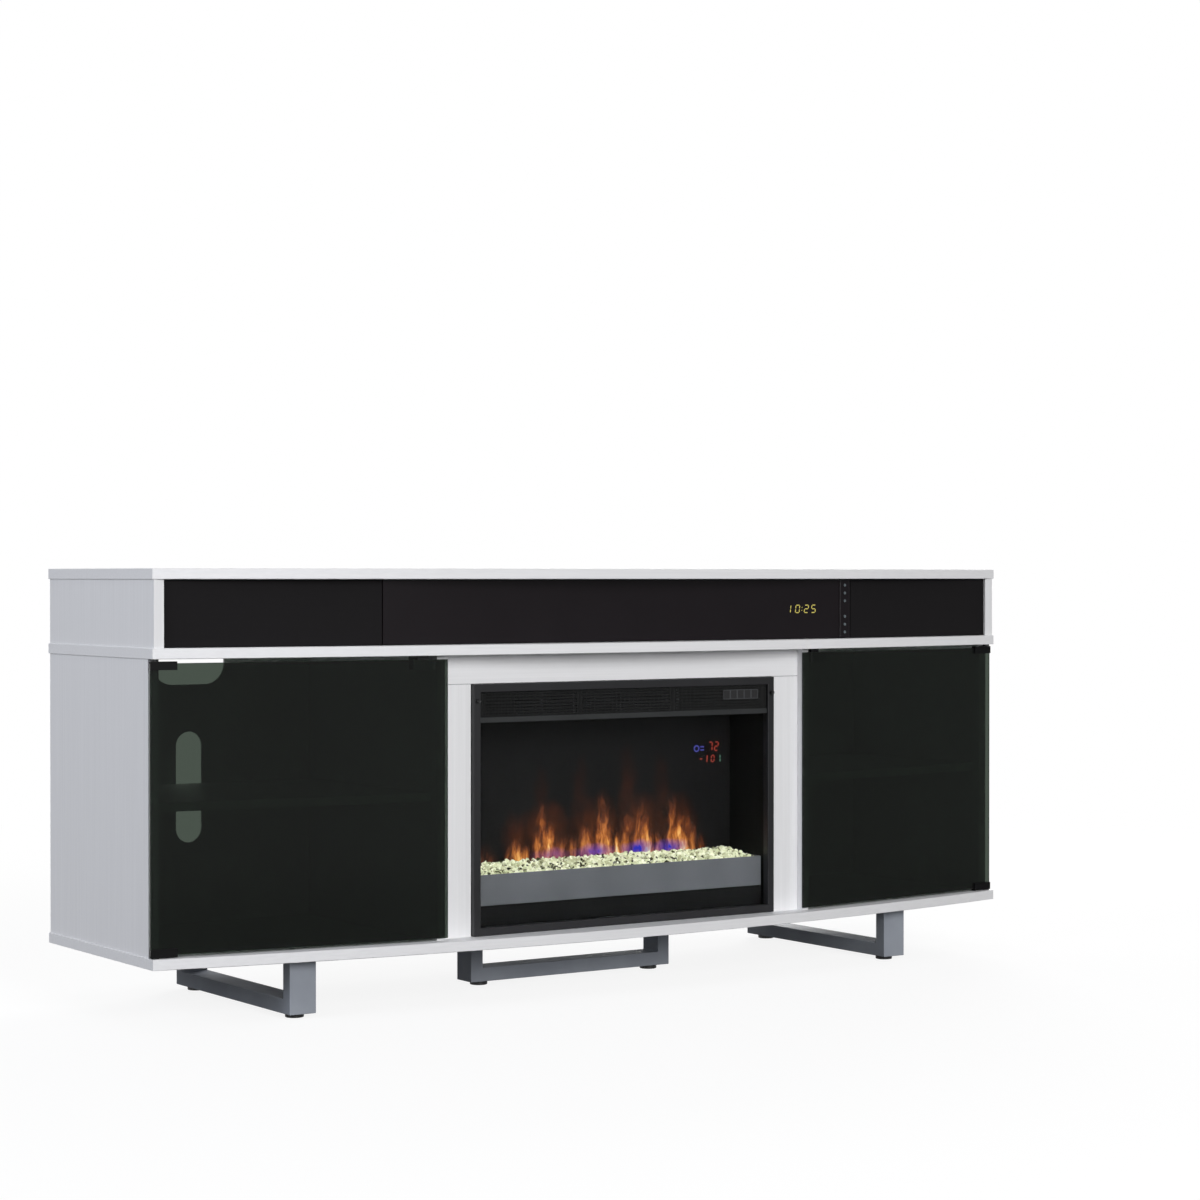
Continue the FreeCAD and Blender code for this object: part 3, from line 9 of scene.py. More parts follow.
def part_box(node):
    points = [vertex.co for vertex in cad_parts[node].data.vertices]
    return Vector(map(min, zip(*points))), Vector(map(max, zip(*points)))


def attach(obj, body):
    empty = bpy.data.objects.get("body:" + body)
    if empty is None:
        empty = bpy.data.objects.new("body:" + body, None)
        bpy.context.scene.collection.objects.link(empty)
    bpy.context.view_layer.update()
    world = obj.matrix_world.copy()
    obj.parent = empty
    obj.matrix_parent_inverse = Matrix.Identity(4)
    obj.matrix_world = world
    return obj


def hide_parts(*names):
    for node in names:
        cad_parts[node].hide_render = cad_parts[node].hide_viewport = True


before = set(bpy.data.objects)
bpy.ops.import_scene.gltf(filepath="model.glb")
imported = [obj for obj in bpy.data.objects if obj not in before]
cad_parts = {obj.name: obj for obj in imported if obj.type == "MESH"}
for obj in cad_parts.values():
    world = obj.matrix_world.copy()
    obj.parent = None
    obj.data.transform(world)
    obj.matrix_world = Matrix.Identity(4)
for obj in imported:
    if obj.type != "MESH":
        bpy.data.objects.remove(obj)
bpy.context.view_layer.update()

# Bowed boards, sides, partitions, shelves and fire surround
# Particle board faced and edged with white melamine paper, sawn to the bow and drilled.
# The three bowed boards run through, and the upright boards stand between them on dowels.
MM = 0.001
LENGTHWISE = 0
UPRIGHT = 2
GRAIN_WIDTH = 4 * MM
GRAIN_LENGTH = 320 * MM
GRAIN_RELIEF = 0.1 * MM
JOINT_WIDTH = 1 * MM
JOINT_SHADE = "#8f8f93"
BOARD_TONES = ("#e7e7e9", "#eeeef0")
# The surround's white is a little lighter than the boards' as painted light, lifting it out of the shade
# under the overhanging boards.
SURROUND_PAINTED_LIGHT_TONES = ("#eeeef0", "#f5f5f7")


def linear(code):
    """Linear colour from an sRGB hex value."""
    parts = [int(code[place:place + 2], 16) / 255 for place in (1, 3, 5)]
    return [part / 12.92 if part <= 0.04045 else ((part + 0.055) / 1.055) ** 2.4 for part in parts] + [1.0]


def add(tree, kind, inputs=None, stops=None, **settings):
    """Adds a node with its settings, its linked or fixed inputs and, on a ramp, its stops in hex."""
    node = tree.nodes.new(kind)
    for name, value in settings.items():
        setattr(node, name, value)
    for socket, source in (inputs or {}).items():
        if isinstance(source, bpy.types.NodeSocket):
            tree.links.new(source, node.inputs[socket])
        else:
            node.inputs[socket].default_value = source
    for number, (place, code) in enumerate(stops or []):
        elements = node.color_ramp.elements
        stop = elements[number] if number < 2 else elements.new(place)
        stop.position = place
        stop.color = linear(code)
    return node


def start_material(name):
    """New material, with its node tree and its shader."""
    material = bpy.data.materials.new(name)
    material.use_nodes = True
    return material, material.node_tree, material.node_tree.nodes["Principled BSDF"]


def dress(material, *nodes):
    """Gives CAD pieces their finish."""
    for node in nodes:
        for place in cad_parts[node].material_slots:
            place.material = material


def white_melamine(name, grain_axis, tones, end=None):
    """Printed and embossed paper under clear resin: even white, faint long grain, soft satin gloss.

    Where a board butts against another, its end has a dark joint, drawn a millimetre wide to show."""
    material, tree, shader = start_material(name)
    place = add(tree, "ShaderNodeTexCoord").outputs["Object"]
    stretch = [1 / GRAIN_WIDTH] * 3
    stretch[grain_axis] = 1 / GRAIN_LENGTH
    along = add(tree, "ShaderNodeMapping", {"Vector": place, "Scale": stretch}).outputs[0]
    grain = add(tree, "ShaderNodeTexNoise", {"Vector": along, "Scale": 1.0, "Detail": 5.0, "Roughness": 0.62})
    tone = add(tree, "ShaderNodeValToRGB", {"Fac": grain.outputs[0]}, [(0.3, tones[0]), (0.7, tones[1])])
    colour = tone.outputs[0]
    if end:
        height = add(tree, "ShaderNodeSeparateXYZ", {"Vector": place}).outputs["Z"]
        joint = add(tree, "ShaderNodeMath", {0: height, 1: end - JOINT_WIDTH}, operation="GREATER_THAN")
        joined = add(tree, "ShaderNodeMix", {"Factor": joint.outputs[0], "A": colour,
                                             "B": linear(JOINT_SHADE)}, data_type="RGBA")
        colour = joined.outputs["Result"]
    gloss = add(tree, "ShaderNodeMapRange", {"Value": grain.outputs[0], "To Min": 0.4, "To Max": 0.5})
    bump = add(tree, "ShaderNodeBump", {"Height": grain.outputs[0], "Strength": 0.12,
                                        "Distance": GRAIN_RELIEF})
    tree.links.new(colour, shader.inputs["Base Color"])
    tree.links.new(gloss.outputs[0], shader.inputs["Roughness"])
    tree.links.new(bump.outputs[0], shader.inputs["Normal"])
    shader.inputs["IOR"].default_value = 1.5
    return material


level_melamine = white_melamine("white_melamine_level", LENGTHWISE, BOARD_TONES)
dress(level_melamine, "top_panel", "mid_panel", "bottom_panel", "shelves")
upright_melamine = white_melamine("white_melamine_upright", UPRIGHT, BOARD_TONES)
dress(upright_melamine, "upper_sides", "lower_sides", "partitions")
# The rail and stiles take the lighter white: painted light against the shade of the overhang.
rail_melamine = white_melamine("white_melamine_rail", LENGTHWISE, SURROUND_PAINTED_LIGHT_TONES)
dress(rail_melamine, "surround_rail")
rail_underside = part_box("surround_rail")[0][2]
stile_melamine = white_melamine("white_melamine_stile", UPRIGHT, SURROUND_PAINTED_LIGHT_TONES, rail_underside)
dress(stile_melamine, "surround_stiles")

# Backs
# Thin hardboard, lacquered white on its smooth face and sawn for cables.
# The sheets slide into grooves in the boards.
HARDBOARD_FLECK = 2.5 * MM
HARDBOARD_RELIEF = 0.1 * MM
# Lacquer over pressed fibre: flat white with a faint pebble and little gloss
white_hardboard, tree, shader = start_material("white_lacquered_hardboard")
place = add(tree, "ShaderNodeTexCoord").outputs["Object"]
fleck = add(tree, "ShaderNodeTexNoise", {"Vector": place, "Scale": 1 / HARDBOARD_FLECK, "Detail": 3.0})
tone = add(tree, "ShaderNodeValToRGB", {"Fac": fleck.outputs[0]}, [(0.25, "#d4d4d3"), (0.75, "#e4e4e3")])
bump = add(tree, "ShaderNodeBump", {"Height": fleck.outputs[0], "Strength": 0.3,
                                    "Distance": HARDBOARD_RELIEF})
tree.links.new(tone.outputs[0], shader.inputs["Base Color"])
tree.links.new(bump.outputs[0], shader.inputs["Normal"])
shader.inputs["Roughness"].default_value = 0.55
dress(white_hardboard, "back_panels", "bay_back_panel")

# Dowels, shelf pins, leg bolts and plated metal parts
# Fluted beech dowels are glued into the boards. Pins, countersunk bolts, strike plates, motors, scroll and
# heating element are steel, zinc-plated after turning or pressing.
BEECH_FLECK = 1.5 * MM
BEECH_FLECK_LENGTH = 11.1 * MM
# Turned beech: pale brown with short darker flecks along its length
beech, tree, shader = start_material("beech")
place = add(tree, "ShaderNodeTexCoord").outputs["Object"]
stretch = (1 / BEECH_FLECK, 1 / BEECH_FLECK, 1 / BEECH_FLECK_LENGTH)
along = add(tree, "ShaderNodeMapping", {"Vector": place, "Scale": stretch}).outputs[0]
fleck = add(tree, "ShaderNodeTexNoise", {"Vector": along, "Scale": 1.0, "Detail": 3.0})
tone = add(tree, "ShaderNodeValToRGB", {"Fac": fleck.outputs[0]}, [(0.3, "#b98d5c"), (0.7, "#dcb98a")])
tree.links.new(tone.outputs[0], shader.inputs["Base Color"])
shader.inputs["Roughness"].default_value = 0.6
dress(beech, "joint_dowels")

ZINC_STREAK = 0.6 * MM
ZINC_STREAK_LENGTH = 16.7 * MM
# Zinc plate: pale, slightly blue metal with soft streaks
zinc_plate, tree, shader = start_material("zinc_plated_steel")
place = add(tree, "ShaderNodeTexCoord").outputs["Object"]
stretch = (1 / ZINC_STREAK_LENGTH, 1 / ZINC_STREAK, 1 / ZINC_STREAK)
along = add(tree, "ShaderNodeMapping", {"Vector": place, "Scale": stretch}).outputs[0]
streak = add(tree, "ShaderNodeTexNoise", {"Vector": along, "Scale": 1.0, "Detail": 2.0})
tone = add(tree, "ShaderNodeValToRGB", {"Fac": streak.outputs[0]}, [(0.3, "#a9abb0"), (0.7, "#c9cbd0")])
gloss = add(tree, "ShaderNodeMapRange", {"Value": streak.outputs[0], "To Min": 0.24, "To Max": 0.42})
tree.links.new(tone.outputs[0], shader.inputs["Base Color"])
tree.links.new(gloss.outputs[0], shader.inputs["Roughness"])
shader.inputs["Metallic"].default_value = 1.0
dress(zinc_plate, "shelf_pins", "leg_bolts", "strike_plate_left", "strike_plate_right", "spindle_motor",
      "blower_motor", "blower_scroll", "heating_element")

# Leg frames
# Flat steel tube mitred and welded to a U, powder-coated silver grey and bolted up under the bottom board.
# The coat is a fine orange peel with a dull metallic sheen.
PEEL = 1.6 * MM
PEEL_RELIEF = 0.08 * MM
COAT_CLOUD = 71.4 * MM


def powder_coat(name, tones, specular, roughness):
    """Baked powder coat: small even dimples, colour that hardly varies, satin or dull gloss."""
    material, tree, shader = start_material(name)
    place = add(tree, "ShaderNodeTexCoord").outputs["Object"]
    peel = add(tree, "ShaderNodeTexNoise", {"Vector": place, "Scale": 1 / PEEL, "Detail": 2.0})
    cloud = add(tree, "ShaderNodeTexNoise", {"Vector": place, "Scale": 1 / COAT_CLOUD, "Detail": 3.0})
    tone = add(tree, "ShaderNodeValToRGB", {"Fac": cloud.outputs[0]}, [(0.3, tones[0]), (0.7, tones[1])])
    gloss = add(tree, "ShaderNodeMapRange", {"Value": peel.outputs[0], "To Min": roughness[0],
                                             "To Max": roughness[1]})
    bump = add(tree, "ShaderNodeBump", {"Height": peel.outputs[0], "Strength": 0.35, "Distance": PEEL_RELIEF})
    tree.links.new(tone.outputs[0], shader.inputs["Base Color"])
    tree.links.new(gloss.outputs[0], shader.inputs["Roughness"])
    tree.links.new(bump.outputs[0], shader.inputs["Normal"])
    shader.inputs["Specular IOR Level"].default_value = specular
    return material


leg_coat = powder_coat("silver_grey_powder_coat", ("#959aa3", "#a0a5ae"), specular=0.03,
                       roughness=(0.42, 0.56))
dress(leg_coat, "leg_left", "leg_centre", "leg_right")

# Levelling feet, pivot bushes, push latches and power inlet
# Moulded black nylon. The feet screw up into the legs, the bushes sit in the boards round the door pivots,
# and the latches are fixed up under the middle board.
NYLON_GRAIN = 1.2 * MM
NYLON_RELIEF = 0.1 * MM
# Nylon from a spark-eroded mould: dull black, a little grey where light catches its faint grain
black_nylon, tree, shader = start_material("black_nylon")
place = add(tree, "ShaderNodeTexCoord").outputs["Object"]
grain = add(tree, "ShaderNodeTexVoronoi", {"Vector": place, "Scale": 1 / NYLON_GRAIN})
tone = add(tree, "ShaderNodeValToRGB", {"Fac": grain.outputs[0]}, [(0.0, "#171718"), (1.0, "#222224")])
bump = add(tree, "ShaderNodeBump", {"Height": grain.outputs[0], "Strength": 0.2, "Distance": NYLON_RELIEF})
tree.links.new(tone.outputs[0], shader.inputs["Base Color"])
tree.links.new(bump.outputs[0], shader.inputs["Normal"])
shader.inputs["Roughness"].default_value = 0.48
dress(black_nylon, "foot_left_front", "foot_left_back", "foot_centre_left", "foot_centre_right",
      "foot_right_front", "foot_right_back", "hinge_bushes", "latch_housings", "latch_plunger_left",
      "latch_plunger_right", "power_inlet")

# Glass doors
# Body-tinted float glass, cut to size with ground edges.
# Each door hangs on two clamps and shuts against a push latch.
DOOR_WAVE = 333 * MM
# Smoked glass: very dark and a little green, see-through where it is bright behind
smoked_glass, tree, shader = start_material("smoked_float_glass")
place = add(tree, "ShaderNodeTexCoord").outputs["Object"]
wave = add(tree, "ShaderNodeTexNoise", {"Vector": place, "Scale": 1 / DOOR_WAVE, "Detail": 1.0})
gloss = add(tree, "ShaderNodeMapRange", {"Value": wave.outputs[0], "To Min": 0.01, "To Max": 0.04})
tree.links.new(gloss.outputs[0], shader.inputs["Roughness"])
shader.inputs["Base Color"].default_value = linear("#454f46")
shader.inputs["Transmission Weight"].default_value = 1.0
shader.inputs["IOR"].default_value = 1.4
dress(smoked_glass, "door_glass_left", "door_glass_right")

# Hinge clamps, bezel, air outlet and housing of the fire
# Cast clamps, a pressed bezel and outlet plate, and a folded sheet-steel housing, all powder-coated black.
# The clamps grip the glass, and two thumbscrews hold the bezel. The coat is satin in front and dull behind.
clamp_coat = powder_coat("black_clamp_coat", ("#101011", "#141415"), specular=0.08, roughness=(0.42, 0.56))
dress(clamp_coat, "hinge_clamps_left", "hinge_clamps_right")
bezel_coat = powder_coat("black_powder_coat", ("#212123", "#27272a"), specular=0.45, roughness=(0.3, 0.46))
dress(bezel_coat, "insert_bezel")
outlet_coat = powder_coat("dark_powder_coat", ("#191a1b", "#202122"), specular=0.35, roughness=(0.36, 0.5))
dress(outlet_coat, "outlet_grille")
housing_coat = powder_coat("dull_black_powder_coat", ("#0f1011", "#141516"), specular=0.1,
                           roughness=(0.55, 0.72))
dress(housing_coat, "insert_housing")

# Lip and ember tray
# Folded sheet steel with a grey satin powder coat, darker on the lip.
# The lip stands under the air outlet, and the tray holds the embers.
tray_coat = powder_coat("grey_satin_powder_coat", ("#57585e", "#606168"), specular=0.3,
                        roughness=(0.34, 0.48))
dress(tray_coat, "ember_tray")
lip_coat = powder_coat("dark_grey_satin_powder_coat", ("#252728", "#2d2f30"), specular=0.5,
                       roughness=(0.34, 0.48))
dress(lip_coat, "outlet_lip")

# Fire glass
# A flat pane of clear float glass in front of the fire, held in the bezel.
# Hardly any reflection shows on it, so its index is set low, and its faint even sheen is drawn into the flame
# screen's base as painted reflection.
FIRE_GLASS_WAVE = 250 * MM
# Clear glass: almost no tint, and a trace of unevenness in its gloss
fire_glass, tree, shader = start_material("clear_float_glass")
place = add(tree, "ShaderNodeTexCoord").outputs["Object"]
wave = add(tree, "ShaderNodeTexNoise", {"Vector": place, "Scale": 1 / FIRE_GLASS_WAVE, "Detail": 1.0})
gloss = add(tree, "ShaderNodeMapRange", {"Value": wave.outputs[0], "To Min": 0.0, "To Max": 0.02})
tree.links.new(gloss.outputs[0], shader.inputs["Roughness"])
shader.inputs["Base Color"].default_value = linear("#f0f2f0")
shader.inputs["Transmission Weight"].default_value = 1.0
shader.inputs["IOR"].default_value = 1.06
dress(fire_glass, "insert_glass")

# Embers
# A bed of crushed glass, tumbled so that its edges are dull, poured into the tray and lit from below.
# It slopes down to the front, and the gaps between the chips are painted shade: a dark solid bed lies under
# the chips.
CHIPS = 1700
CHIP_SEED = 7
CHIP_COLUMNS = 100
CHIP_SMALL = 3.3 * MM
CHIP_LARGE = 6.6 * MM
SMALL_CHIP_BIAS = 1.5
CHIP_MARGIN = 8 * MM
CHIP_SINK = 3 * MM
CHIP_SCATTER = 2 * MM
CHIP_WIDTHS = (0.6, 0.95)
CHIP_HEIGHTS = (0.45, 0.75)
CHIP_BREAK = 0.22
BED_SINK = 5 * MM
BED_FRONT = 221.5 * MM
# The bed's dark colour is painted shade for the gaps between the chips.
BED_GAP_SHADE = (0.06, 0.0, 0.0, 1.0)


def make_piece(name, shape, material, body):
    """Turns a finished bmesh into a piece that rides on a body."""
    mesh = bpy.data.meshes.new(name)
    shape.to_mesh(mesh)
    shape.free()
    mesh.materials.append(material)
    piece = bpy.data.objects.new(name, mesh)
    bpy.context.scene.collection.objects.link(piece)
    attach(piece, body)
    return piece


def stretched(middle, size):
    """Place and size of a unit shape."""
    return Matrix.Translation(middle) @ Matrix.Diagonal((*size, 1.0))


rng = random.Random(CHIP_SEED)
low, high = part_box("ember_glass")
chips = bmesh.new()
# The tint layer carries each chip's random tone and the bed's painted shade.
tint = chips.verts.layers.float_color.new("tint")
bed_size = Vector((high[0] - low[0], high[1] - low[1], high[2] - low[2] - BED_SINK))
bed_middle = Vector(((low[0] + high[0]) / 2, (low[1] + high[1]) / 2, low[2] + bed_size.z / 2))
made = bmesh.ops.create_cube(chips, size=1.0, matrix=stretched(bed_middle, bed_size))
front_top = [vert for vert in made["verts"] if vert.co.y < bed_middle.y and vert.co.z > bed_middle.z]
bmesh.ops.translate(chips, vec=(0, 0, BED_FRONT - high[2]), verts=front_top)
for vert in chips.verts:
    vert[tint] = BED_GAP_SHADE
for number in range(CHIPS):
    across = (number % CHIP_COLUMNS + rng.random()) / CHIP_COLUMNS
    into = (number // CHIP_COLUMNS + rng.random()) / (CHIPS / CHIP_COLUMNS)
    x = low[0] + CHIP_MARGIN + across * (high[0] - low[0] - 2 * CHIP_MARGIN)
    y = low[1] + CHIP_MARGIN + into * (high[1] - low[1] - 2 * CHIP_MARGIN)
    top = BED_FRONT + (y - low[1]) / (high[1] - low[1]) * (high[2] - BED_FRONT)
    size = CHIP_SMALL + (CHIP_LARGE - CHIP_SMALL) * rng.random() ** SMALL_CHIP_BIAS
    spot = Vector((x, y, top - CHIP_SINK + rng.uniform(-CHIP_SCATTER, CHIP_SCATTER)))
    turn = Euler([rng.uniform(0, math.tau) for axis in range(3)])
    shape = Vector((size, size * rng.uniform(*CHIP_WIDTHS), size * rng.uniform(*CHIP_HEIGHTS)))
    lie = Matrix.LocRotScale(spot, turn, shape)
    made = bmesh.ops.create_icosphere(chips, subdivisions=1, radius=1.0, matrix=lie)
    shade = rng.random()
    for vert in made["verts"]:
        vert.co += Vector([rng.uniform(-CHIP_BREAK, CHIP_BREAK) * size for axis in range(3)])
        vert[tint] = (shade, rng.random(), 0.0, 1.0)

# Tumbled glass lit from below: cream to pale green chips that glow a little, with small highlights
crushed_glass, tree, shader = start_material("crushed_glass")
chip_tone_and_gap_shade = add(tree, "ShaderNodeAttribute", attribute_name="tint")
split = add(tree, "ShaderNodeSeparateColor", {"Color": chip_tone_and_gap_shade.outputs["Color"]})
# The ramp's dark end gives the bed its painted shade; each chip takes a random tone along the ramp.
tone = add(tree, "ShaderNodeValToRGB", {"Fac": split.outputs[0]},
           [(0.0, "#14140f"), (0.1, "#4a4a30"), (0.16, "#a2a480"), (0.55, "#d3d6b4"), (1.0, "#eeeedc")])
tree.links.new(tone.outputs[0], shader.inputs["Base Color"])
tree.links.new(tone.outputs[0], shader.inputs["Emission Color"])
shader.inputs["Emission Strength"].default_value = 0.42
shader.inputs["Roughness"].default_value = 0.16
shader.inputs["IOR"].default_value = 1.5
embers = make_piece("crushed_glass_embers", chips, crushed_glass, "cabinet")
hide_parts("ember_glass")

# Flame screen
# Dark frosted glass. The turning spindle throws moving light on it from behind, which reads as flames
# above the embers: orange tongues, a blue glow at their feet and faint taller wisps.
FLAME_FOOT = 231 * MM
FREE_HEIGHT = 90 * MM
WISP_RISE = 40 * MM
BLUE_RISE = 8 * MM
WAVE_WIDTH = 26 * MM
WAVE_HEIGHT = 48 * MM
SWAY = 30 * MM
SWAY_AT_FOOT = 0.35
SWAY_AT_TIP = 1.3
STREAK_WIDTH = 13 * MM
STREAK_HEIGHT = 42 * MM
STREAK_DIM = 0.34
STREAK_BRIGHT = 1.24
FULLNESS = 0.62
VIOLET_LEFT = -110 * MM
BLUE_RIGHT = 90 * MM
ANY_DEPTH = 1000
# Each row gives a middle, a height and a half width in millimetres, and how bright it is
TONGUES = [
    (-228, 34, 26, 0.26), (-166, 42, 28, 0.95), (-146, 34, 22, 0.8), (-112, 110, 25, 0.78),
    (-94, 74, 26, 0.95), (-66, 46, 24, 0.66), (-38, 46, 26, 0.6), (-14, 64, 28, 0.85),
    (20, 126, 25, 0.78), (33, 74, 28, 0.95), (54, 54, 24, 1.0), (80, 92, 26, 0.62),
    (105, 106, 23, 0.74), (120, 74, 26, 1.12), (150, 42, 22, 0.56), (179, 120, 21, 0.86),
    (198, 78, 36, 0.98), (226, 50, 22, 0.52), (246, 38, 16, 0.32),
]
WISPS = [
    (-26, 150, 26, 0.08), (80, 165, 30, 0.1), (156, 150, 26, 0.08), (-112, 140, 20, 0.06),
    (-100, 72, 62, 0.22), (8, 76, 66, 0.24), (104, 78, 60, 0.24), (190, 74, 52, 0.22), (-160, 56, 40, 0.14),
]
BLUE_FEET = [(-92, 14, 48, 0.9), (4, 16, 56, 1.05), (101, 18, 42, 1.2), (176, 16, 44, 1.1)]


def glow(tree, place, rows, foot):
    """Soft ovals of light in a row, each brightest in its middle; where they meet, the brightest shows."""
    level = 0.0
    for x, tall, wide, bright in rows:
        spot = (x * MM, 0, foot)
        size = (wide * MM, ANY_DEPTH, tall * MM)
        oval = add(tree, "ShaderNodeMapping", {"Vector": place, "Location": spot, "Scale": size},
                   vector_type="TEXTURE")
        fade = add(tree, "ShaderNodeTexGradient", {"Vector": oval.outputs[0]}, gradient_type="SPHERICAL")
        light = add(tree, "ShaderNodeMath", {0: fade.outputs["Fac"], 1: bright}, operation="MULTIPLY")
        level = add(tree, "ShaderNodeMath", {0: level, 1: light.outputs[0]}, operation="MAXIMUM").outputs[0]
    return level


# Frosted glass with light on it: near black and dull, with soft-edged orange and blue flames that give light
flame_light, tree, shader = start_material("frosted_screen_with_flames")
place = add(tree, "ShaderNodeTexCoord").outputs["Object"]
wave_stretch = (1 / WAVE_WIDTH, 0, 1 / WAVE_HEIGHT)
waves = add(tree, "ShaderNodeMapping", {"Vector": place, "Scale": wave_stretch}).outputs[0]
wave = add(tree, "ShaderNodeTexNoise", {"Vector": waves, "Scale": 1.0, "Detail": 3.0, "Roughness": 0.55})
push = add(tree, "ShaderNodeVectorMath", {0: wave.outputs["Color"], 1: (0.5, 0.5, 0.5)}, operation="SUBTRACT")
push = add(tree, "ShaderNodeVectorMath", {0: push.outputs[0], 1: (SWAY, 0, SWAY)}, operation="MULTIPLY")
height = add(tree, "ShaderNodeSeparateXYZ", {"Vector": place}).outputs["Z"]
free = add(tree, "ShaderNodeMapRange", {"Value": height, "From Min": FLAME_FOOT,
                                        "From Max": FLAME_FOOT + FREE_HEIGHT, "To Min": SWAY_AT_FOOT,
                                        "To Max": SWAY_AT_TIP})
push = add(tree, "ShaderNodeVectorMath", {0: push.outputs[0], "Scale": free.outputs[0]}, operation="SCALE")
swayed = add(tree, "ShaderNodeVectorMath", {0: place, 1: push.outputs[0]}, operation="ADD").outputs[0]
streak_stretch = (1 / STREAK_WIDTH, 0, 1 / STREAK_HEIGHT)
streaks = add(tree, "ShaderNodeMapping", {"Vector": swayed, "Scale": streak_stretch}).outputs[0]
streak = add(tree, "ShaderNodeTexNoise", {"Vector": streaks, "Scale": 1.0, "Detail": 3.0, "Roughness": 0.6})
streak = add(tree, "ShaderNodeMapRange", {"Value": streak.outputs[0], "From Min": 0.33, "From Max": 0.66,
                                          "To Min": STREAK_DIM, "To Max": STREAK_BRIGHT}).outputs[0]
body = glow(tree, swayed, TONGUES, FLAME_FOOT)
body = add(tree, "ShaderNodeMath", {0: body, 1: FULLNESS}, operation="POWER").outputs[0]
heat = add(tree, "ShaderNodeMath", {0: body, 1: streak}, operation="MULTIPLY", use_clamp=True).outputs[0]
fire = add(tree, "ShaderNodeValToRGB", {"Fac": heat},
           [(0.0, "#000000"), (0.18, "#1a0b06"), (0.38, "#603019"), (0.58, "#ac642c"), (0.76, "#e49a4c"),
            (0.9, "#f8ca78"), (1.0, "#ffe8b4")])
faint = glow(tree, swayed, WISPS, FLAME_FOOT + WISP_RISE)
faint = add(tree, "ShaderNodeMath", {0: faint, 1: streak}, operation="MULTIPLY", use_clamp=True).outputs[0]
wisp = add(tree, "ShaderNodeMix", {"Factor": faint, "A": linear("#000000"), "B": linear("#a8501c")},
           data_type="RGBA")
both = add(tree, "ShaderNodeMix", {"Factor": 1.0, "A": fire.outputs[0], "B": wisp.outputs["Result"]},
           data_type="RGBA", blend_type="ADD")
feet = glow(tree, swayed, BLUE_FEET, FLAME_FOOT + BLUE_RISE)
feet = add(tree, "ShaderNodeMath", {0: feet, 1: streak}, operation="MULTIPLY", use_clamp=True).outputs[0]
side = add(tree, "ShaderNodeSeparateXYZ", {"Vector": swayed}).outputs["X"]
side = add(tree, "ShaderNodeMapRange", {"Value": side, "From Min": VIOLET_LEFT, "From Max": BLUE_RIGHT})
blue = add(tree, "ShaderNodeMix", {"Factor": side.outputs[0], "A": linear("#94508e"), "B": linear("#2b2fbe")},
           data_type="RGBA")
flames = add(tree, "ShaderNodeMix", {"Factor": feet, "A": both.outputs["Result"],
                                     "B": blue.outputs["Result"]}, data_type="RGBA")
tree.links.new(flames.outputs["Result"], shader.inputs["Emission Color"])
shader.inputs["Emission Strength"].default_value = 1.0
# The near-black base is a little lighter as painted reflection, standing in for the fire glass's faint even
# sheen.
shader.inputs["Base Color"].default_value = linear("#171718")
shader.inputs["Roughness"].default_value = 0.6
shader.inputs["Specular IOR Level"].default_value = 0.06
dress(flame_light, "flame_screen")

# Lit display on the flame screen
# Small lamps behind the screen shine through marks in it.
# They show two red figures, and plain blue, red and green signs.
MARK_DEPTH = 0.3 * MM
STROKE_POINT = 0.42
STROKE_GAP = 0.7
RING_SIDES = 24
LAMP_GRAIN = 1.11 * MM
SCREEN_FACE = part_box("flame_screen")[0][1]
SIGN_FOOT = 395 * MM
SIGN_LEAN = 0.08
SEGMENTS = {"0": "abcdef", "1": "bc", "2": "abged", "5": "afgcd", "7": "abc"}
# Each row gives a figure, its left side, foot, width, height and stroke in millimetres
RED_FIGURES = [("7", 262, 416, 8, 16, 2.2), ("2", 276, 416, 8, 16, 2.2), ("0", 270, 395, 6.5, 12, 2.0)]
# Each row gives a bar's middle across and up, length and stroke in millimetres, and whether it stands upright
RED_BARS = [(246, 401, 6, 2.0, False), (260, 401, 13, 2.0, True)]
BLUE_BARS = [(249, 424, 9, 2.2, False), (249, 418, 9, 2.2, False)]
GREEN_BARS = [(291, 404.5, 6, 2.4, True), (291, 397.5, 6, 2.4, True)]
RING_ACROSS = 236 * MM
RING_UP = 421 * MM
RING_RADIUS = 6.5 * MM
RING_STROKE = 2.4 * MM


def lay_bar(shape, face_y, x, z, length, stroke, upright):
    """Thin bar with pointed ends on a face that looks to the front, as one stroke of a lit figure."""
    size = (stroke, MARK_DEPTH, length) if upright else (length, MARK_DEPTH, stroke)
    middle = Vector((x, face_y - MARK_DEPTH / 2, z))
    made = bmesh.ops.create_cube(shape, size=1.0, matrix=stretched(middle, size))
    edges = dict.fromkeys(edge for vert in made["verts"] for edge in vert.link_edges)
    through = [edge for edge in edges if abs(edge.verts[0].co.y - edge.verts[1].co.y) > MARK_DEPTH / 2]
    bmesh.ops.bevel(shape, geom=through, offset=stroke * STROKE_POINT, segments=1, profile=0.5,
                    affect="EDGES", material=-1)


def lay_bars(shape, face_y, rows):
    """Bars from rows in millimetres."""
    for x, z, length, stroke, upright in rows:
        lay_bar(shape, face_y, x * MM, z * MM, length * MM, stroke * MM, upright)


def lay_figure(shape, face_y, figure, left, foot, wide, tall, stroke):
    """One seven-stroke figure on a face that looks to the front."""
    level = {"a": foot + tall, "g": foot + tall / 2, "d": foot}
    for name in SEGMENTS[figure]:
        if name in level:
            lay_bar(shape, face_y, left + wide / 2, level[name], wide - stroke, stroke, False)
        else:
            x = left if name in "ef" else left + wide
            z = foot + tall * (0.75 if name in "bf" else 0.25)
            lay_bar(shape, face_y, x, z, tall / 2 - stroke * STROKE_GAP, stroke, True)


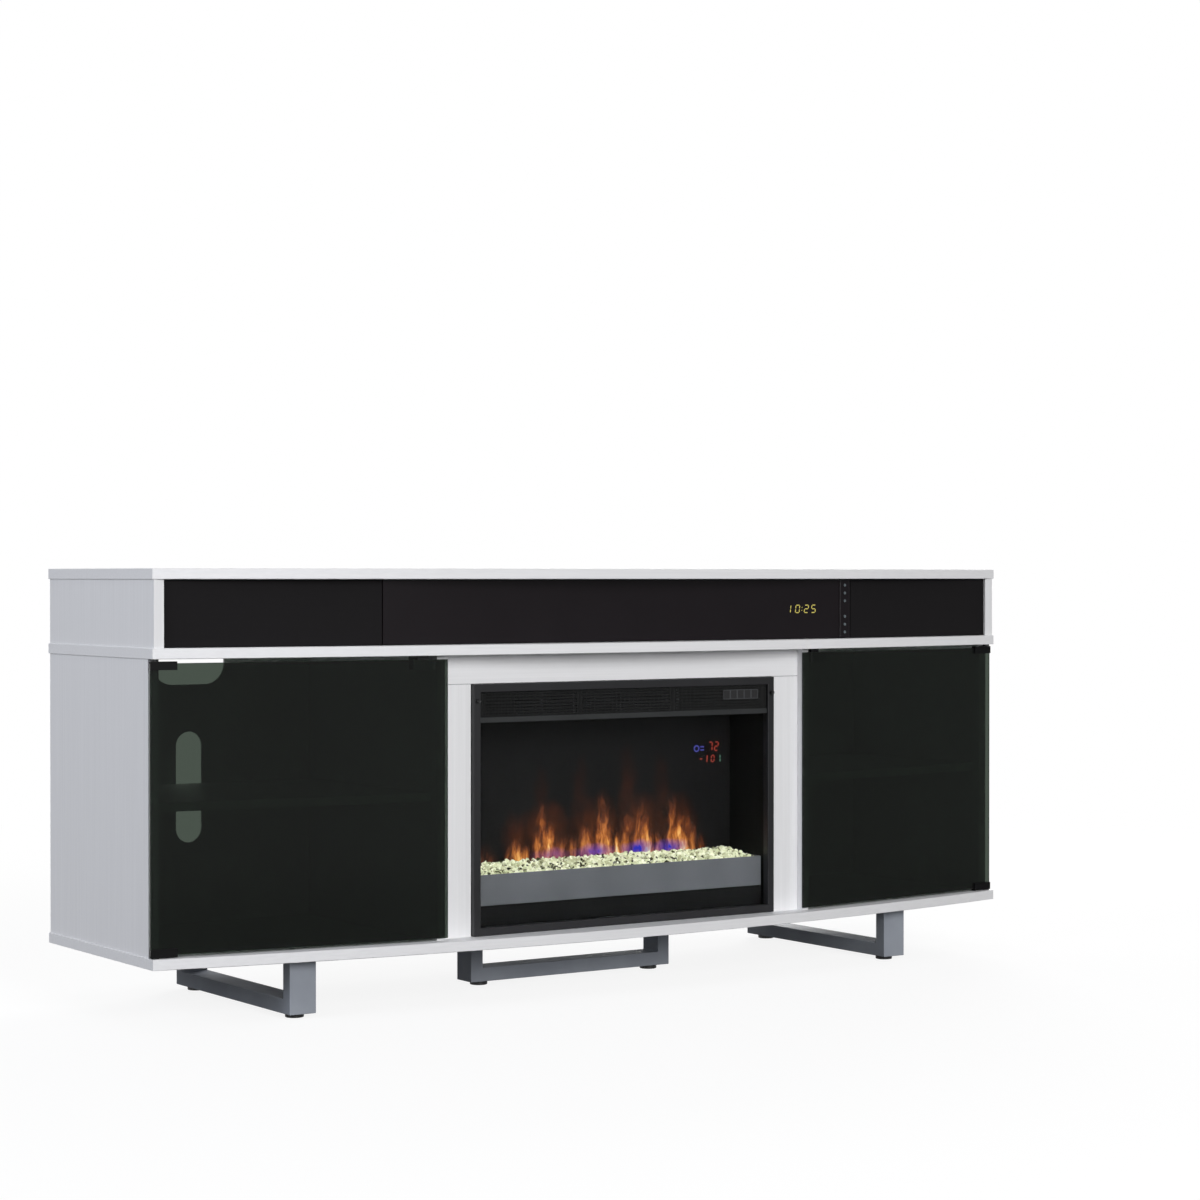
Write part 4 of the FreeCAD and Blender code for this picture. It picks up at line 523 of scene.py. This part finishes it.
def lay_ring(shape, middle, radius, stroke):
    """Flat ring that faces the front."""
    turn = Matrix.Translation(middle) @ Matrix.Rotation(math.pi / 2, 4, "X")
    edges = []
    for size in (radius, radius - stroke):
        made = bmesh.ops.create_circle(shape, cap_ends=False, segments=RING_SIDES, radius=size, matrix=turn)
        edges += dict.fromkeys(edge for vert in made["verts"] for edge in vert.link_edges)
    ring = bmesh.ops.bridge_loops(shape, edges=edges)["faces"]
    thick = bmesh.ops.extrude_face_region(shape, geom=ring)["geom"]
    raised = [item for item in thick if isinstance(item, bmesh.types.BMVert)]
    bmesh.ops.translate(shape, vec=(0, -MARK_DEPTH / 2, 0), verts=raised)


def lean(shape, foot, slope):
    """Leans figures to the right."""
    for vert in shape.verts:
        vert.co.x += (vert.co.z - foot) * slope


def lit_lamp(name, glow_tone, dark_tone):
    """Light through a mark: even glow with a slightly darker grain."""
    material, tree, shader = start_material(name)
    place = add(tree, "ShaderNodeTexCoord").outputs["Object"]
    grain = add(tree, "ShaderNodeTexNoise", {"Vector": place, "Scale": 1 / LAMP_GRAIN, "Detail": 1.0})
    tone = add(tree, "ShaderNodeValToRGB", {"Fac": grain.outputs[0]}, [(0.3, dark_tone), (0.6, glow_tone)])
    tree.links.new(tone.outputs[0], shader.inputs["Emission Color"])
    shader.inputs["Emission Strength"].default_value = 1.0
    shader.inputs["Base Color"].default_value = linear("#151515")
    shader.inputs["Roughness"].default_value = 0.4
    return material


red_marks = bmesh.new()
for figure, *sizes in RED_FIGURES:
    lay_figure(red_marks, SCREEN_FACE, figure, *[size * MM for size in sizes])
lay_bars(red_marks, SCREEN_FACE, RED_BARS)
lean(red_marks, SIGN_FOOT, SIGN_LEAN)
red_lamp = lit_lamp("red_lamp", "#c4422e", "#96301f")
make_piece("fire_display_red", red_marks, red_lamp, "cabinet")
blue_marks = bmesh.new()
ring_middle = Vector((RING_ACROSS, SCREEN_FACE - MARK_DEPTH / 2, RING_UP))
lay_ring(blue_marks, ring_middle, RING_RADIUS, RING_STROKE)
lay_bars(blue_marks, SCREEN_FACE, BLUE_BARS)
blue_lamp = lit_lamp("blue_lamp", "#464cc4", "#303694")
make_piece("fire_display_blue", blue_marks, blue_lamp, "cabinet")
green_marks = bmesh.new()
lay_bars(green_marks, SCREEN_FACE, GREEN_BARS)
green_lamp = lit_lamp("green_lamp", "#6a9a84", "#4a7462")
make_piece("fire_display_green", green_marks, green_lamp, "cabinet")

# Flame spindle, blower wheel and circuit boards
# The spindle is bright aluminium strip and the wheel die-pressed blades, each turning in the housing.
# The boards are glass fibre with green solder resist, screwed down beside them.
BRUSH = 0.8 * MM
BRUSH_LENGTH = 33.3 * MM
# Rolled aluminium: bright, almost colourless metal with fine streaks in its gloss
bright_aluminium, tree, shader = start_material("bright_aluminium")
place = add(tree, "ShaderNodeTexCoord").outputs["Object"]
stretch = (1 / BRUSH_LENGTH, 1 / BRUSH, 1 / BRUSH)
along = add(tree, "ShaderNodeMapping", {"Vector": place, "Scale": stretch}).outputs[0]
streak = add(tree, "ShaderNodeTexNoise", {"Vector": along, "Scale": 1.0, "Detail": 2.0})
gloss = add(tree, "ShaderNodeMapRange", {"Value": streak.outputs[0], "To Min": 0.12, "To Max": 0.32})
tree.links.new(gloss.outputs[0], shader.inputs["Roughness"])
shader.inputs["Base Color"].default_value = linear("#dcdde0")
shader.inputs["Metallic"].default_value = 1.0
dress(bright_aluminium, "flame_spindle", "blower_wheel")

TRACK = 4 * MM
# Printed resist over copper: dark green blocks with lighter tracks between them, half gloss
solder_resist, tree, shader = start_material("green_solder_resist")
place = add(tree, "ShaderNodeTexCoord").outputs["Object"]
tracks = add(tree, "ShaderNodeTexBrick", {"Vector": place, "Scale": 1 / TRACK, "Mortar Size": 0.12,
                                          "Color1": linear("#1c5a33"), "Color2": linear("#174d2b"),
                                          "Mortar": linear("#2e7a49")})
tree.links.new(tracks.outputs[0], shader.inputs["Base Color"])
shader.inputs["Roughness"].default_value = 0.35
dress(solder_resist, "circuit_boards")

# Bezel thumbscrews
# Small knobs moulded in black nylon with straight knurls and a dished end.
# They turn on studs through the bezel's side bars.
KNOB_RIBS = 18
KNOB_REACH = 6 * MM
KNOB_RADIUS = 3.5 * MM
KNOB_CORE = 0.93
DISH_RIM = 0.3
DISH_DEPTH = 0.5 * MM
TOUCH = 1e-6


def angle_about(middle, face):
    """Angle of a face about a knob's axis."""
    out = face.calc_center_median() - middle
    return math.atan2(out.z, out.x)


knobs = bmesh.new()
low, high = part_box("bezel_thumbscrews")
knob_z = (low[2] + high[2]) / 2
bezel_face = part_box("insert_bezel")[0][1]
core_radius = KNOB_RADIUS * KNOB_CORE
for side in (-1, 1):
    middle = Vector((side * (high[0] - KNOB_RADIUS), bezel_face - KNOB_REACH / 2, knob_z))
    nose = middle - Vector((0, KNOB_REACH / 2, 0))
    turn = Matrix.Translation(middle) @ Matrix.Rotation(math.pi / 2, 4, "X")
    made = bmesh.ops.create_cone(knobs, cap_ends=True, segments=2 * KNOB_RIBS, radius1=core_radius,
                                 radius2=core_radius, depth=KNOB_REACH, matrix=turn)
    faces = dict.fromkeys(face for vert in made["verts"] for face in vert.link_faces)
    walls = [face for face in faces if len(face.verts) == 4]
    walls.sort(key=lambda face: angle_about(middle, face))
    ribs = bmesh.ops.extrude_discrete_faces(knobs, faces=walls[::2])["faces"]
    for rib in ribs:
        out = rib.calc_center_median() - middle
        out.y = 0
        bmesh.ops.translate(knobs, vec=out.normalized() * (KNOB_RADIUS - core_radius), verts=rib.verts)
    caps = [face for face in knobs.faces if (face.calc_center_median() - nose).length < TOUCH]
    bmesh.ops.inset_region(knobs, faces=caps, thickness=KNOB_RADIUS * DISH_RIM, depth=-DISH_DEPTH)
thumbscrews = make_piece("bezel_thumbscrew_knobs", knobs, black_nylon, "cabinet")
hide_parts("bezel_thumbscrews")

# Mesh over the air outlet
# Black-coated wires welded to a fine mesh, the upright ones in front, clipped over the slotted outlet plate.
# The real wires are about 1.5 mm apart; they are drawn 3 mm apart so that they show.
WIRE_PITCH = 3 * MM
WIRE_RADIUS = 0.55 * MM
WIRE_SIDES = 6
low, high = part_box("outlet_grille")
middle = (Vector(low) + Vector(high)) / 2
wires = bmesh.new()
for spread, run, radii_out in ((LENGTHWISE, UPRIGHT, 3), (UPRIGHT, LENGTHWISE, 1)):
    turn = Matrix.Rotation(math.pi / 2, 4, "Y") if run == LENGTHWISE else Matrix.Identity(4)
    count = int((high[spread] - low[spread]) / WIRE_PITCH)
    for number in range(count):
        spot = Vector((middle.x, low[1] - radii_out * WIRE_RADIUS, middle.z))
        spot[spread] += (number - (count - 1) / 2) * WIRE_PITCH
        bmesh.ops.create_cone(wires, cap_ends=True, segments=WIRE_SIDES, radius1=WIRE_RADIUS,
                              radius2=WIRE_RADIUS, depth=high[run] - low[run],
                              matrix=Matrix.Translation(spot) @ turn)
wire_coat = powder_coat("black_wire_coat", ("#151616", "#1b1c1c"), specular=0.3, roughness=(0.4, 0.54))
make_piece("outlet_mesh", wires, wire_coat, "cabinet")

# Touch strip of the fire
# A thin strip moulded in dark grey ABS with five plain touch fields.
# It is stuck on the right end of the air outlet's mesh.
STRIP_LEFT = 213 * MM
STRIP_RIGHT = 293 * MM
STRIP_LOW = 518.5 * MM
STRIP_HIGH = 536 * MM
STRIP_THICK = 1.2 * MM
FIELDS = 5
FIELD_BORDER = 1.4 * MM
FIELD_SLOPE = 0.4 * MM
FIELD_SINK = 0.3 * MM
STRIP_GRAIN = 1.11 * MM
FACING = 0.9
outlet_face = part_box("outlet_grille")[0][1] - 4 * WIRE_RADIUS
strip = bmesh.new()
middle = Vector(((STRIP_LEFT + STRIP_RIGHT) / 2, outlet_face - STRIP_THICK / 2, (STRIP_LOW + STRIP_HIGH) / 2))
size = (STRIP_RIGHT - STRIP_LEFT, STRIP_THICK, STRIP_HIGH - STRIP_LOW)
bmesh.ops.create_cube(strip, size=1.0, matrix=stretched(middle, size))
lengthwise = [edge for edge in strip.edges if abs(edge.verts[0].co.x - edge.verts[1].co.x) > TOUCH]
bmesh.ops.subdivide_edges(strip, edges=lengthwise, cuts=FIELDS - 1, use_grid_fill=True)
fields = [face for face in strip.faces if face.normal.y < -FACING]
bmesh.ops.inset_individual(strip, faces=fields, thickness=FIELD_BORDER, depth=0.0)
bmesh.ops.inset_individual(strip, faces=fields, thickness=FIELD_SLOPE, depth=-FIELD_SINK)
for field in fields:
    field.material_index = 1
# Moulded ABS: dark grey with a fine even grain, half gloss
dark_grey_abs, tree, shader = start_material("dark_grey_abs")
place = add(tree, "ShaderNodeTexCoord").outputs["Object"]
grain = add(tree, "ShaderNodeTexNoise", {"Vector": place, "Scale": 1 / STRIP_GRAIN, "Detail": 2.0})
tone = add(tree, "ShaderNodeValToRGB", {"Fac": grain.outputs[0]}, [(0.3, "#3a3b3d"), (0.7, "#48494c")])
tree.links.new(tone.outputs[0], shader.inputs["Base Color"])
shader.inputs["Roughness"].default_value = 0.4
touch_strip = make_piece("fire_touch_strip", strip, dark_grey_abs, "cabinet")
touch_strip.data.materials.append(black_nylon)

# Soundbar enclosure and drivers
# A glued box of black-stained fibreboard that stands in the upper bay.
# Pulp cones in pressed baskets are screwed to its slanted ends.
FIBRE = 1.5 * MM
# Stained fibreboard: brownish black and matt, with short fibres a little lighter
stained_fibreboard, tree, shader = start_material("black_stained_fibreboard")
place = add(tree, "ShaderNodeTexCoord").outputs["Object"]
fibre = add(tree, "ShaderNodeTexNoise", {"Vector": place, "Scale": 1 / FIBRE, "Detail": 4.0})
tone = add(tree, "ShaderNodeValToRGB", {"Fac": fibre.outputs[0]}, [(0.3, "#191817"), (0.7, "#242322")])
tree.links.new(tone.outputs[0], shader.inputs["Base Color"])
shader.inputs["Roughness"].default_value = 0.75
dress(stained_fibreboard, "soundbar_enclosure", "speaker_drivers")

# Soundbar face and buttons
# One moulding in black ABS, with the raised control strip in one piece.
# The buttons are separate grey mouldings that slide in holes in the strip.
FLOW_MARK = 111 * MM
BUTTONS = 6
BUTTON_GRAIN = 0.667 * MM
# Half-gloss ABS: black with a slight purple cast, and long soft flow marks that hardly show
half_gloss_abs, tree, shader = start_material("half_gloss_black_abs")
place = add(tree, "ShaderNodeTexCoord").outputs["Object"]
flow = add(tree, "ShaderNodeTexNoise", {"Vector": place, "Scale": 1 / FLOW_MARK, "Detail": 3.0})
tone = add(tree, "ShaderNodeValToRGB", {"Fac": flow.outputs[0]}, [(0.3, "#151014"), (0.7, "#171216")])
gloss = add(tree, "ShaderNodeMapRange", {"Value": flow.outputs[0], "To Min": 0.27, "To Max": 0.31})
tree.links.new(tone.outputs[0], shader.inputs["Base Color"])
tree.links.new(gloss.outputs[0], shader.inputs["Roughness"])
shader.inputs["IOR"].default_value = 1.5
shader.inputs["Specular IOR Level"].default_value = 0.3
dress(half_gloss_abs, "soundbar_face")

# Grey ABS: cool mid grey, so that each button shows as a small pale dot
grey_abs, tree, shader = start_material("grey_abs")
place = add(tree, "ShaderNodeTexCoord").outputs["Object"]
grain = add(tree, "ShaderNodeTexNoise", {"Vector": place, "Scale": 1 / BUTTON_GRAIN, "Detail": 1.0})
tone = add(tree, "ShaderNodeValToRGB", {"Fac": grain.outputs[0]}, [(0.3, "#586165"), (0.7, "#687175")])
tree.links.new(tone.outputs[0], shader.inputs["Base Color"])
shader.inputs["Roughness"].default_value = 0.3
dress(grey_abs, *[f"soundbar_button_{number + 1}" for number in range(BUTTONS)])

# Soundbar display
# Small yellow lamps behind the moulded face shine through it.
# They show the four figures and the colon of a clock.
CLOCK_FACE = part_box("speaker_grilles")[0][1]
CLOCK_FIGURES = [("1", 357 * MM), ("0", 378 * MM), ("2", 399 * MM), ("5", 416 * MM)]
CLOCK_FOOT = 677.5 * MM
CLOCK_WIDE = 9 * MM
CLOCK_TALL = 14 * MM
CLOCK_STROKE = 1.7 * MM
CLOCK_LEAN = 0.12
COLON_ACROSS = 393 * MM
COLON_DOT = 1.8 * MM
COLON_SHARES = (0.3, 0.7)
clock = bmesh.new()
for figure, left in CLOCK_FIGURES:
    lay_figure(clock, CLOCK_FACE, figure, left, CLOCK_FOOT, CLOCK_WIDE, CLOCK_TALL, CLOCK_STROKE)
for share in COLON_SHARES:
    lay_bar(clock, CLOCK_FACE, COLON_ACROSS, CLOCK_FOOT + CLOCK_TALL * share, COLON_DOT, COLON_DOT, True)
lean(clock, CLOCK_FOOT, CLOCK_LEAN)
yellow_lamp = lit_lamp("yellow_lamp", "#d6c868", "#aa9c48")
make_piece("soundbar_display", clock, yellow_lamp, "cabinet")

# Speaker grilles
# Black acoustic cloth stretched over a shallow moulded frame that clips to the enclosure.
# Threads are about half a millimetre; they are drawn at two so that the weave shows.
THREAD = 2 * MM
THREAD_RELIEF = 0.3 * MM
# Plain-woven cloth: matt black, with threads a little lighter than the gaps between them
acoustic_cloth, tree, shader = start_material("black_acoustic_cloth")
place = add(tree, "ShaderNodeTexCoord").outputs["Object"]
lines = []
for axis, phase in (("X", 0.0), ("Z", 1.5)):
    threads = add(tree, "ShaderNodeTexWave", {"Vector": place, "Scale": 2 / math.tau / THREAD,
                                              "Phase Offset": phase}, bands_direction=axis)
    lines.append(threads.outputs[1])
weave = add(tree, "ShaderNodeMath", {0: lines[0], 1: lines[1]}, operation="MULTIPLY").outputs[0]
tone = add(tree, "ShaderNodeValToRGB", {"Fac": weave}, [(0.0, "#100e10"), (1.0, "#191719")])
bump = add(tree, "ShaderNodeBump", {"Height": weave, "Strength": 0.5, "Distance": THREAD_RELIEF})
tree.links.new(tone.outputs[0], shader.inputs["Base Color"])
tree.links.new(bump.outputs[0], shader.inputs["Normal"])
shader.inputs["Roughness"].default_value = 0.8
shader.inputs["Specular IOR Level"].default_value = 0.2
dress(acoustic_cloth, "speaker_grilles")

# Dust filter of the fire
# A pad of black open foam, pressed thicker at its rim.
# It is clipped inside the housing's back wall over the air slots.
FILTER_HALF = 252 * MM
FILTER_LOW = 493 * MM
FILTER_HIGH = 553 * MM
FILTER_THICK = 3 * MM
FILTER_RIM = 4 * MM
FILTER_DISH = 0.8 * MM
SHEET = 1.5 * MM
FOAM_CELL = 2 * MM
inner_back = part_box("insert_housing")[1][1] - SHEET
pad = bmesh.new()
middle = Vector((0, inner_back - FILTER_THICK / 2, (FILTER_LOW + FILTER_HIGH) / 2))
size = (2 * FILTER_HALF, FILTER_THICK, FILTER_HIGH - FILTER_LOW)
bmesh.ops.create_cube(pad, size=1.0, matrix=stretched(middle, size))
broad = [face for face in pad.faces if abs(face.normal.y) > FACING]
bmesh.ops.inset_individual(pad, faces=broad, thickness=FILTER_RIM, depth=-FILTER_DISH)
# Open foam: black cells with slightly lighter walls, no gloss
open_foam, tree, shader = start_material("black_open_foam")
place = add(tree, "ShaderNodeTexCoord").outputs["Object"]
cells = add(tree, "ShaderNodeTexVoronoi", {"Vector": place, "Scale": 1 / FOAM_CELL})
tone = add(tree, "ShaderNodeValToRGB", {"Fac": cells.outputs[0]}, [(0.0, "#060606"), (0.8, "#1c1c1d")])
tree.links.new(tone.outputs[0], shader.inputs["Base Color"])
shader.inputs["Roughness"].default_value = 0.95
shader.inputs["Specular IOR Level"].default_value = 0.1
make_piece("fire_dust_filter", pad, open_foam, "cabinet")

# Screws in the back of the fire
# Zinc-plated steel screws with rounded pan heads.
# They stand along the edges of the housing's back sheet and hold it.
SCREW_RADIUS = 3.5 * MM
SCREW_RISE = 2.2 * MM
SCREW_CROWN = 1.1 * MM
SCREW_SIDES = 20
SCREW_INSET = 14 * MM
SCREW_COLUMNS = [-301 * MM, -150 * MM, 0, 150 * MM, 301 * MM]
SCREW_ROWS = [230 * MM, 340 * MM, 450 * MM]
screws = bmesh.new()
low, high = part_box("insert_housing")
outer = high[1] + SCREW_RISE
spots = [(x, z) for x in SCREW_COLUMNS for z in (low[2] + SCREW_INSET, high[2] - SCREW_INSET)]
spots += [(x, z) for x in (SCREW_COLUMNS[0], SCREW_COLUMNS[-1]) for z in SCREW_ROWS]
for x, z in spots:
    turn = Matrix.Translation((x, high[1] + SCREW_RISE / 2, z)) @ Matrix.Rotation(-math.pi / 2, 4, "X")
    made = bmesh.ops.create_cone(screws, cap_ends=True, segments=SCREW_SIDES, radius1=SCREW_RADIUS,
                                 radius2=SCREW_RADIUS, depth=SCREW_RISE, matrix=turn)
    edges = dict.fromkeys(edge for vert in made["verts"] for edge in vert.link_edges)
    rim = [edge for edge in edges if all(abs(end.co.y - outer) < TOUCH for end in edge.verts)]
    bmesh.ops.bevel(screws, geom=rim, offset=SCREW_CROWN, segments=3, profile=0.5, affect="EDGES",
                    material=-1)
make_piece("housing_screws", screws, zinc_plate, "cabinet")

# Floor
# A pale floor that takes the object's shadow and fades to white away from it.
# In reflections its back half is white and its front half dim, and dimmer to the right.
FLOOR_HALF = 30.0
FLOOR_LIFT = 0.87
SHADOW_NEAR = 1.2
SHADOW_FAR = 3.5
FRONT_HALF = -0.6
BACK_HALF = 0.4
MIRRORED_NEAR = 0.3
MIRRORED_FAR = 0.205
ASIDE_WAY = (1.0, 0.5, 0.0)
ASIDE_FROM = -0.5
ASIDE_TO = 1.5
ASIDE_SHARE = 0.56
WHITE = (1, 1, 1, 1)
floor_shape = bmesh.new()
bmesh.ops.create_grid(floor_shape, x_segments=1, y_segments=1, size=FLOOR_HALF)
floor_mesh = bpy.data.meshes.new("floor")
floor_shape.to_mesh(floor_mesh)
floor_shape.free()
floor = bpy.data.objects.new("floor", floor_mesh)
bpy.context.scene.collection.objects.link(floor)
# Matt paint: plain grey to the lamps, white to the eye
pale_floor, tree, shader = start_material("pale_floor")
place = add(tree, "ShaderNodeTexCoord").outputs["Object"]
path = add(tree, "ShaderNodeLightPath")
glossy = path.outputs["Is Glossy Ray"]
away = add(tree, "ShaderNodeVectorMath", {0: place}, operation="LENGTH").outputs["Value"]
far = add(tree, "ShaderNodeMapRange", {"Value": away, "From Min": SHADOW_NEAR, "From Max": SHADOW_FAR},
          interpolation_type="SMOOTHSTEP").outputs[0]
depth = add(tree, "ShaderNodeSeparateXYZ", {"Vector": place}).outputs["Y"]
behind = add(tree, "ShaderNodeMapRange", {"Value": depth, "From Min": FRONT_HALF,
                                          "From Max": BACK_HALF}).outputs[0]
front = add(tree, "ShaderNodeMapRange", {"Value": far, "To Min": MIRRORED_NEAR,
                                         "To Max": MIRRORED_FAR}).outputs[0]
aside = add(tree, "ShaderNodeVectorMath", {0: place, 1: ASIDE_WAY}, operation="DOT_PRODUCT").outputs["Value"]
aside = add(tree, "ShaderNodeMapRange", {"Value": aside, "From Min": ASIDE_FROM, "From Max": ASIDE_TO,
                                         "To Min": 1.0, "To Max": ASIDE_SHARE}).outputs[0]
front = add(tree, "ShaderNodeMath", {0: front, 1: aside}, operation="MULTIPLY").outputs[0]
mirrored = add(tree, "ShaderNodeMath", {0: behind, 1: front}, operation="MAXIMUM").outputs[0]
mirrored = add(tree, "ShaderNodeMath", {0: glossy, 1: mirrored}, operation="MULTIPLY").outputs[0]
shown = add(tree, "ShaderNodeMath", {0: path.outputs["Is Camera Ray"],
                                     1: path.outputs["Is Transmission Ray"]}, operation="MAXIMUM").outputs[0]
shown = add(tree, "ShaderNodeMath", {0: shown, 1: mirrored}, operation="MAXIMUM").outputs[0]
ahead = add(tree, "ShaderNodeMath", {0: 1.0, 1: behind}, operation="SUBTRACT").outputs[0]
ahead = add(tree, "ShaderNodeMath", {0: glossy, 1: ahead}, operation="MULTIPLY").outputs[0]
paint = add(tree, "ShaderNodeMix", {"Factor": ahead, "A": linear("#6e6e6e"), "B": linear("#000000")},
            data_type="RGBA").outputs["Result"]
lift = add(tree, "ShaderNodeMath", {0: shown, 1: FLOOR_LIFT}, operation="MULTIPLY").outputs[0]
tree.links.new(paint, shader.inputs["Base Color"])
tree.links.new(lift, shader.inputs["Emission Strength"])
shader.inputs["Emission Color"].default_value = WHITE
shader.inputs["Roughness"].default_value = 0.9
shader.inputs["Specular IOR Level"].default_value = 0.0
white = add(tree, "ShaderNodeEmission", {"Color": WHITE, "Strength": 1.0})
open_floor = add(tree, "ShaderNodeMath", {0: far, 1: shown}, operation="MULTIPLY").outputs[0]
mixed = add(tree, "ShaderNodeMixShader", {0: open_floor, 1: shader.outputs[0], 2: white.outputs[0]})
tree.links.new(mixed.outputs[0], tree.nodes["Material Output"].inputs["Surface"])
floor_mesh.materials.append(pale_floor)

# Room and lamps
# An even pale room, white to the eye and through glass, and dim in front for reflections.
# A large soft lamp stands in front, a small one to the left and one behind to the right.
ROOM_LIGHT = 0.26
ROOM_FRONT = 0.25
FRONT_WAY = -0.45
BACK_WAY = 0.15
world = bpy.data.worlds.new("pale_room")
world.use_nodes = True
bpy.context.scene.world = world
tree = world.node_tree
path = add(tree, "ShaderNodeLightPath")
way = add(tree, "ShaderNodeTexCoord").outputs["Generated"]
way_back = add(tree, "ShaderNodeSeparateXYZ", {"Vector": way}).outputs["Y"]
backdrop = add(tree, "ShaderNodeMapRange", {"Value": way_back, "From Min": FRONT_WAY, "From Max": BACK_WAY,
                                            "To Min": ROOM_FRONT, "To Max": 1.0}).outputs[0]
shown = add(tree, "ShaderNodeMath", {0: path.outputs["Is Camera Ray"],
                                     1: path.outputs["Is Transmission Ray"]}, operation="MAXIMUM").outputs[0]
strength = add(tree, "ShaderNodeMix", {"Factor": path.outputs["Is Glossy Ray"], "A": ROOM_LIGHT,
                                       "B": backdrop})
strength = add(tree, "ShaderNodeMix", {"Factor": shown, "A": strength.outputs["Result"], "B": 1.0})
tree.nodes["Background"].inputs["Color"].default_value = WHITE
tree.links.new(strength.outputs["Result"], tree.nodes["Background"].inputs["Strength"])


def soft_lamp(name, spot, target, size, power, colour):
    """Round area lamp that faces a target."""
    lamp = bpy.data.lights.new(name, "AREA")
    lamp.shape = "DISK"
    lamp.size = size
    lamp.energy = power
    lamp.color = linear(colour)[:3]
    holder = bpy.data.objects.new(name, lamp)
    holder.location = spot
    holder.rotation_euler = (Vector(target) - Vector(spot)).to_track_quat("-Z", "Y").to_euler()
    bpy.context.scene.collection.objects.link(holder)


soft_lamp("front_lamp", (-0.9, -7.0, 2.5), (0, 0, 0.4), size=3.6, power=338, colour="#ffffff")
soft_lamp("left_lamp", (-4.6, -0.7, 2.0), (-0.9, 0, 0.5), size=1.8, power=66, colour="#eff4ff")
soft_lamp("back_lamp", (4.5, 4.5, 2.6), (0, 0, 0.4), size=3.6, power=340, colour="#ffffff")

# Camera
# It stands in front to the left, at about the height of the top board, and looks slightly down.
EYE = (-2.8552, -4.3547, 0.7466)
LOOK_DOWN = 0.4957
LOOK_RIGHT = 33.97
camera = bpy.data.cameras.new("camera")
camera.sensor_width = 36
camera.lens = 83.77
camera.clip_end = 100
viewer = bpy.data.objects.new("camera", camera)
viewer.location = EYE
viewer.rotation_euler = (math.radians(90 - LOOK_DOWN), 0, math.radians(-LOOK_RIGHT))
bpy.context.scene.collection.objects.link(viewer)
bpy.context.scene.camera = viewer
bpy.context.scene.view_settings.view_transform = "Standard"
